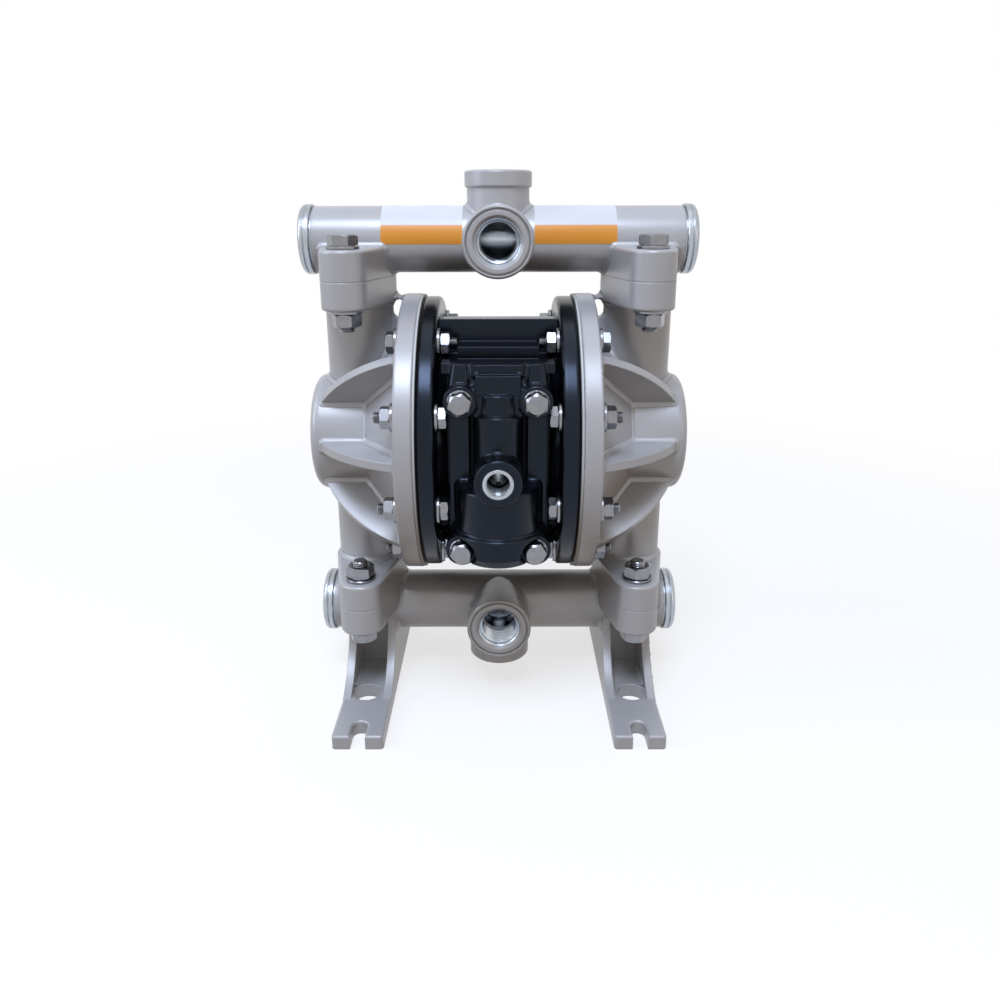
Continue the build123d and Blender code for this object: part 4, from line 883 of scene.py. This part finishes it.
def setCamera(look):
    data = bpy.data.cameras.new("photoCamera")
    data.sensor_width = look["sensor"]
    data.lens = look["focal"]
    data.shift_y = look["shiftY"]
    data.clip_start = look["nearest"]
    data.clip_end = look["farthest"]
    camera = bpy.data.objects.new("photoCamera", data)
    bpy.context.scene.collection.objects.link(camera)
    tilt = Matrix.Rotation(math.radians(90 - look["down"]), 4, "X")
    turn = Matrix.Rotation(math.radians(-look["turn"]), 4, "Z")
    roll = Matrix.Rotation(math.radians(look["roll"]), 4, "Z")
    camera.matrix_world = Matrix.Translation(Vector(look["place"]) * mm) @ turn @ tilt @ roll
    bpy.context.scene.camera = camera


setCamera(cameraLook)


# Floor and world. The floor turns to plain white between whiteFrom and whiteTo, in metres from the origin
studioLook = {"floorSize": 30.0, "floorBounce": "#664C32", "floorSeen": "#A6A6A6", "floorLift": 0.68,
              "whiteFrom": 0.25, "whiteTo": 0.75, "domeHigh": 0.46, "domeLow": 0.15, "domeTop": 0.7,
              "domeHighColour": "#EAEEF6", "domeLowColour": "#E8CBA6"}


def whiteToEye(tree):   # 1 for rays from the eye and for mirrored or refracted ones
    path = addNode(tree, "ShaderNodeLightPath").outputs
    seen = addNode(tree, "ShaderNodeMath", {0: path["Is Camera Ray"], 1: path["Is Glossy Ray"]},
                   operation="MAXIMUM")
    return addNode(tree, "ShaderNodeMath", {0: seen.outputs[0], 1: path["Is Transmission Ray"]},
                   operation="MAXIMUM").outputs[0]


def addFloor(look):
    half = look["floorSize"] / 2
    corners = [(-half, -half, 0), (half, -half, 0), (half, half, 0), (-half, half, 0)]
    mesh = bpy.data.meshes.new("studioFloor")
    mesh.from_pydata(corners, [], [(0, 1, 2, 3)])
    floor = bpy.data.objects.new("studioFloor", mesh)
    bpy.context.scene.collection.objects.link(floor)
    material, tree = newMaterial("paperFloor", look["floorSeen"])
    seen = whiteToEye(tree)
    colour = addNode(tree, "ShaderNodeMix", {"Factor": seen, 6: hexColour(look["floorBounce"]),
                     7: hexColour(look["floorSeen"])}, data_type="RGBA")
    diffuse = addNode(tree, "ShaderNodeBsdfDiffuse", {"Color": colour.outputs[2]})
    lift = addNode(tree, "ShaderNodeMath", {0: seen, 1: look["floorLift"]}, operation="MULTIPLY")
    glow = addNode(tree, "ShaderNodeEmission", {"Color": white, "Strength": lift.outputs[0]})
    near = addNode(tree, "ShaderNodeAddShader", {0: diffuse.outputs[0], 1: glow.outputs[0]})
    place = addNode(tree, "ShaderNodeTexCoord").outputs["Object"]
    reach = addNode(tree, "ShaderNodeVectorMath", {0: place}, operation="LENGTH").outputs["Value"]
    away = addNode(tree, "ShaderNodeMapRange", {"Value": reach, "From Min": look["whiteFrom"],
                   "From Max": look["whiteTo"]}, interpolation_type="SMOOTHSTEP").outputs[0]
    share = addNode(tree, "ShaderNodeMath", {0: away, 1: seen}, operation="MULTIPLY").outputs[0]
    far = addNode(tree, "ShaderNodeEmission", {"Color": white, "Strength": 1.0})
    both = addNode(tree, "ShaderNodeMixShader", {0: share, 1: near.outputs[0], 2: far.outputs[0]})
    addNode(tree, "ShaderNodeOutputMaterial", {"Surface": both.outputs[0]})
    mesh.materials.append(material)


def setWorld(look):   # a soft dome that lights the object; the eye sees plain white
    world = bpy.data.worlds.new("studioDome")
    bpy.context.scene.world = world
    world.use_nodes = True
    tree = world.node_tree
    tree.nodes.clear()
    direction = addNode(tree, "ShaderNodeTexCoord").outputs["Generated"]
    height = addNode(tree, "ShaderNodeSeparateXYZ", {0: direction}).outputs["Z"]
    level = addNode(tree, "ShaderNodeMapRange", {"Value": height, "From Min": 0.0,
                    "From Max": look["domeTop"]}, interpolation_type="SMOOTHSTEP").outputs[0]
    colour = addNode(tree, "ShaderNodeMix", {"Factor": level, 6: hexColour(look["domeLowColour"]),
                     7: hexColour(look["domeHighColour"])}, data_type="RGBA").outputs[2]
    strength = addNode(tree, "ShaderNodeMapRange", {"Value": level, "To Min": look["domeLow"],
                       "To Max": look["domeHigh"]}).outputs[0]
    seen = whiteToEye(tree)
    shown = addNode(tree, "ShaderNodeMix", {"Factor": seen, 6: colour, 7: white}, data_type="RGBA").outputs[2]
    power = addNode(tree, "ShaderNodeMix", {"Factor": seen, 2: strength, 3: 1.0}).outputs[0]
    sky = addNode(tree, "ShaderNodeBackground", {"Color": shown, "Strength": power})
    addNode(tree, "ShaderNodeOutputWorld", {"Surface": sky.outputs[0]})


# Lamps, in metres and watts, that all aim at the middle of the pump
lampAim = (0, 0, 0.15)
softboxes = {
    "keySoftbox": {"size": (0.6, 0.5), "power": 15.5, "colour": "#D6E4FF", "place": (-0.12, -0.80, 1.45)},
    "fillSoftbox": {"size": (0.8, 0.8), "power": 1.2, "colour": "#FFEBD8", "place": (1.0, -1.0, 0.7)},
    "sideSoftbox": {"size": (0.4, 0.9), "power": 5, "colour": "#DDE8FF", "place": (-1.1, -0.25, 0.75)},
    "topSoftbox": {"size": (0.7, 0.7), "power": 0.8, "colour": "#E0EBFF", "place": (0.1, 0.1, 1.40)},
}


def addSoftbox(name, look):
    data = bpy.data.lights.new(name, "AREA")
    data.shape = "RECTANGLE"
    data.size, data.size_y = look["size"]
    data.energy = look["power"]
    data.color = hexColour(look["colour"])[:3]
    lamp = bpy.data.objects.new(name, data)
    bpy.context.scene.collection.objects.link(lamp)
    place = Vector(look["place"])
    facing = (Vector(lampAim) - place).to_track_quat("-Z", "Y").to_matrix().to_4x4()
    lamp.matrix_world = Matrix.Translation(place) @ facing


addFloor(studioLook)
setWorld(studioLook)
for lampName, lampLook in softboxes.items():
    addSoftbox(lampName, lampLook)
bpy.context.scene.view_settings.view_transform = "Standard"
print("camera, floor and lamps set")
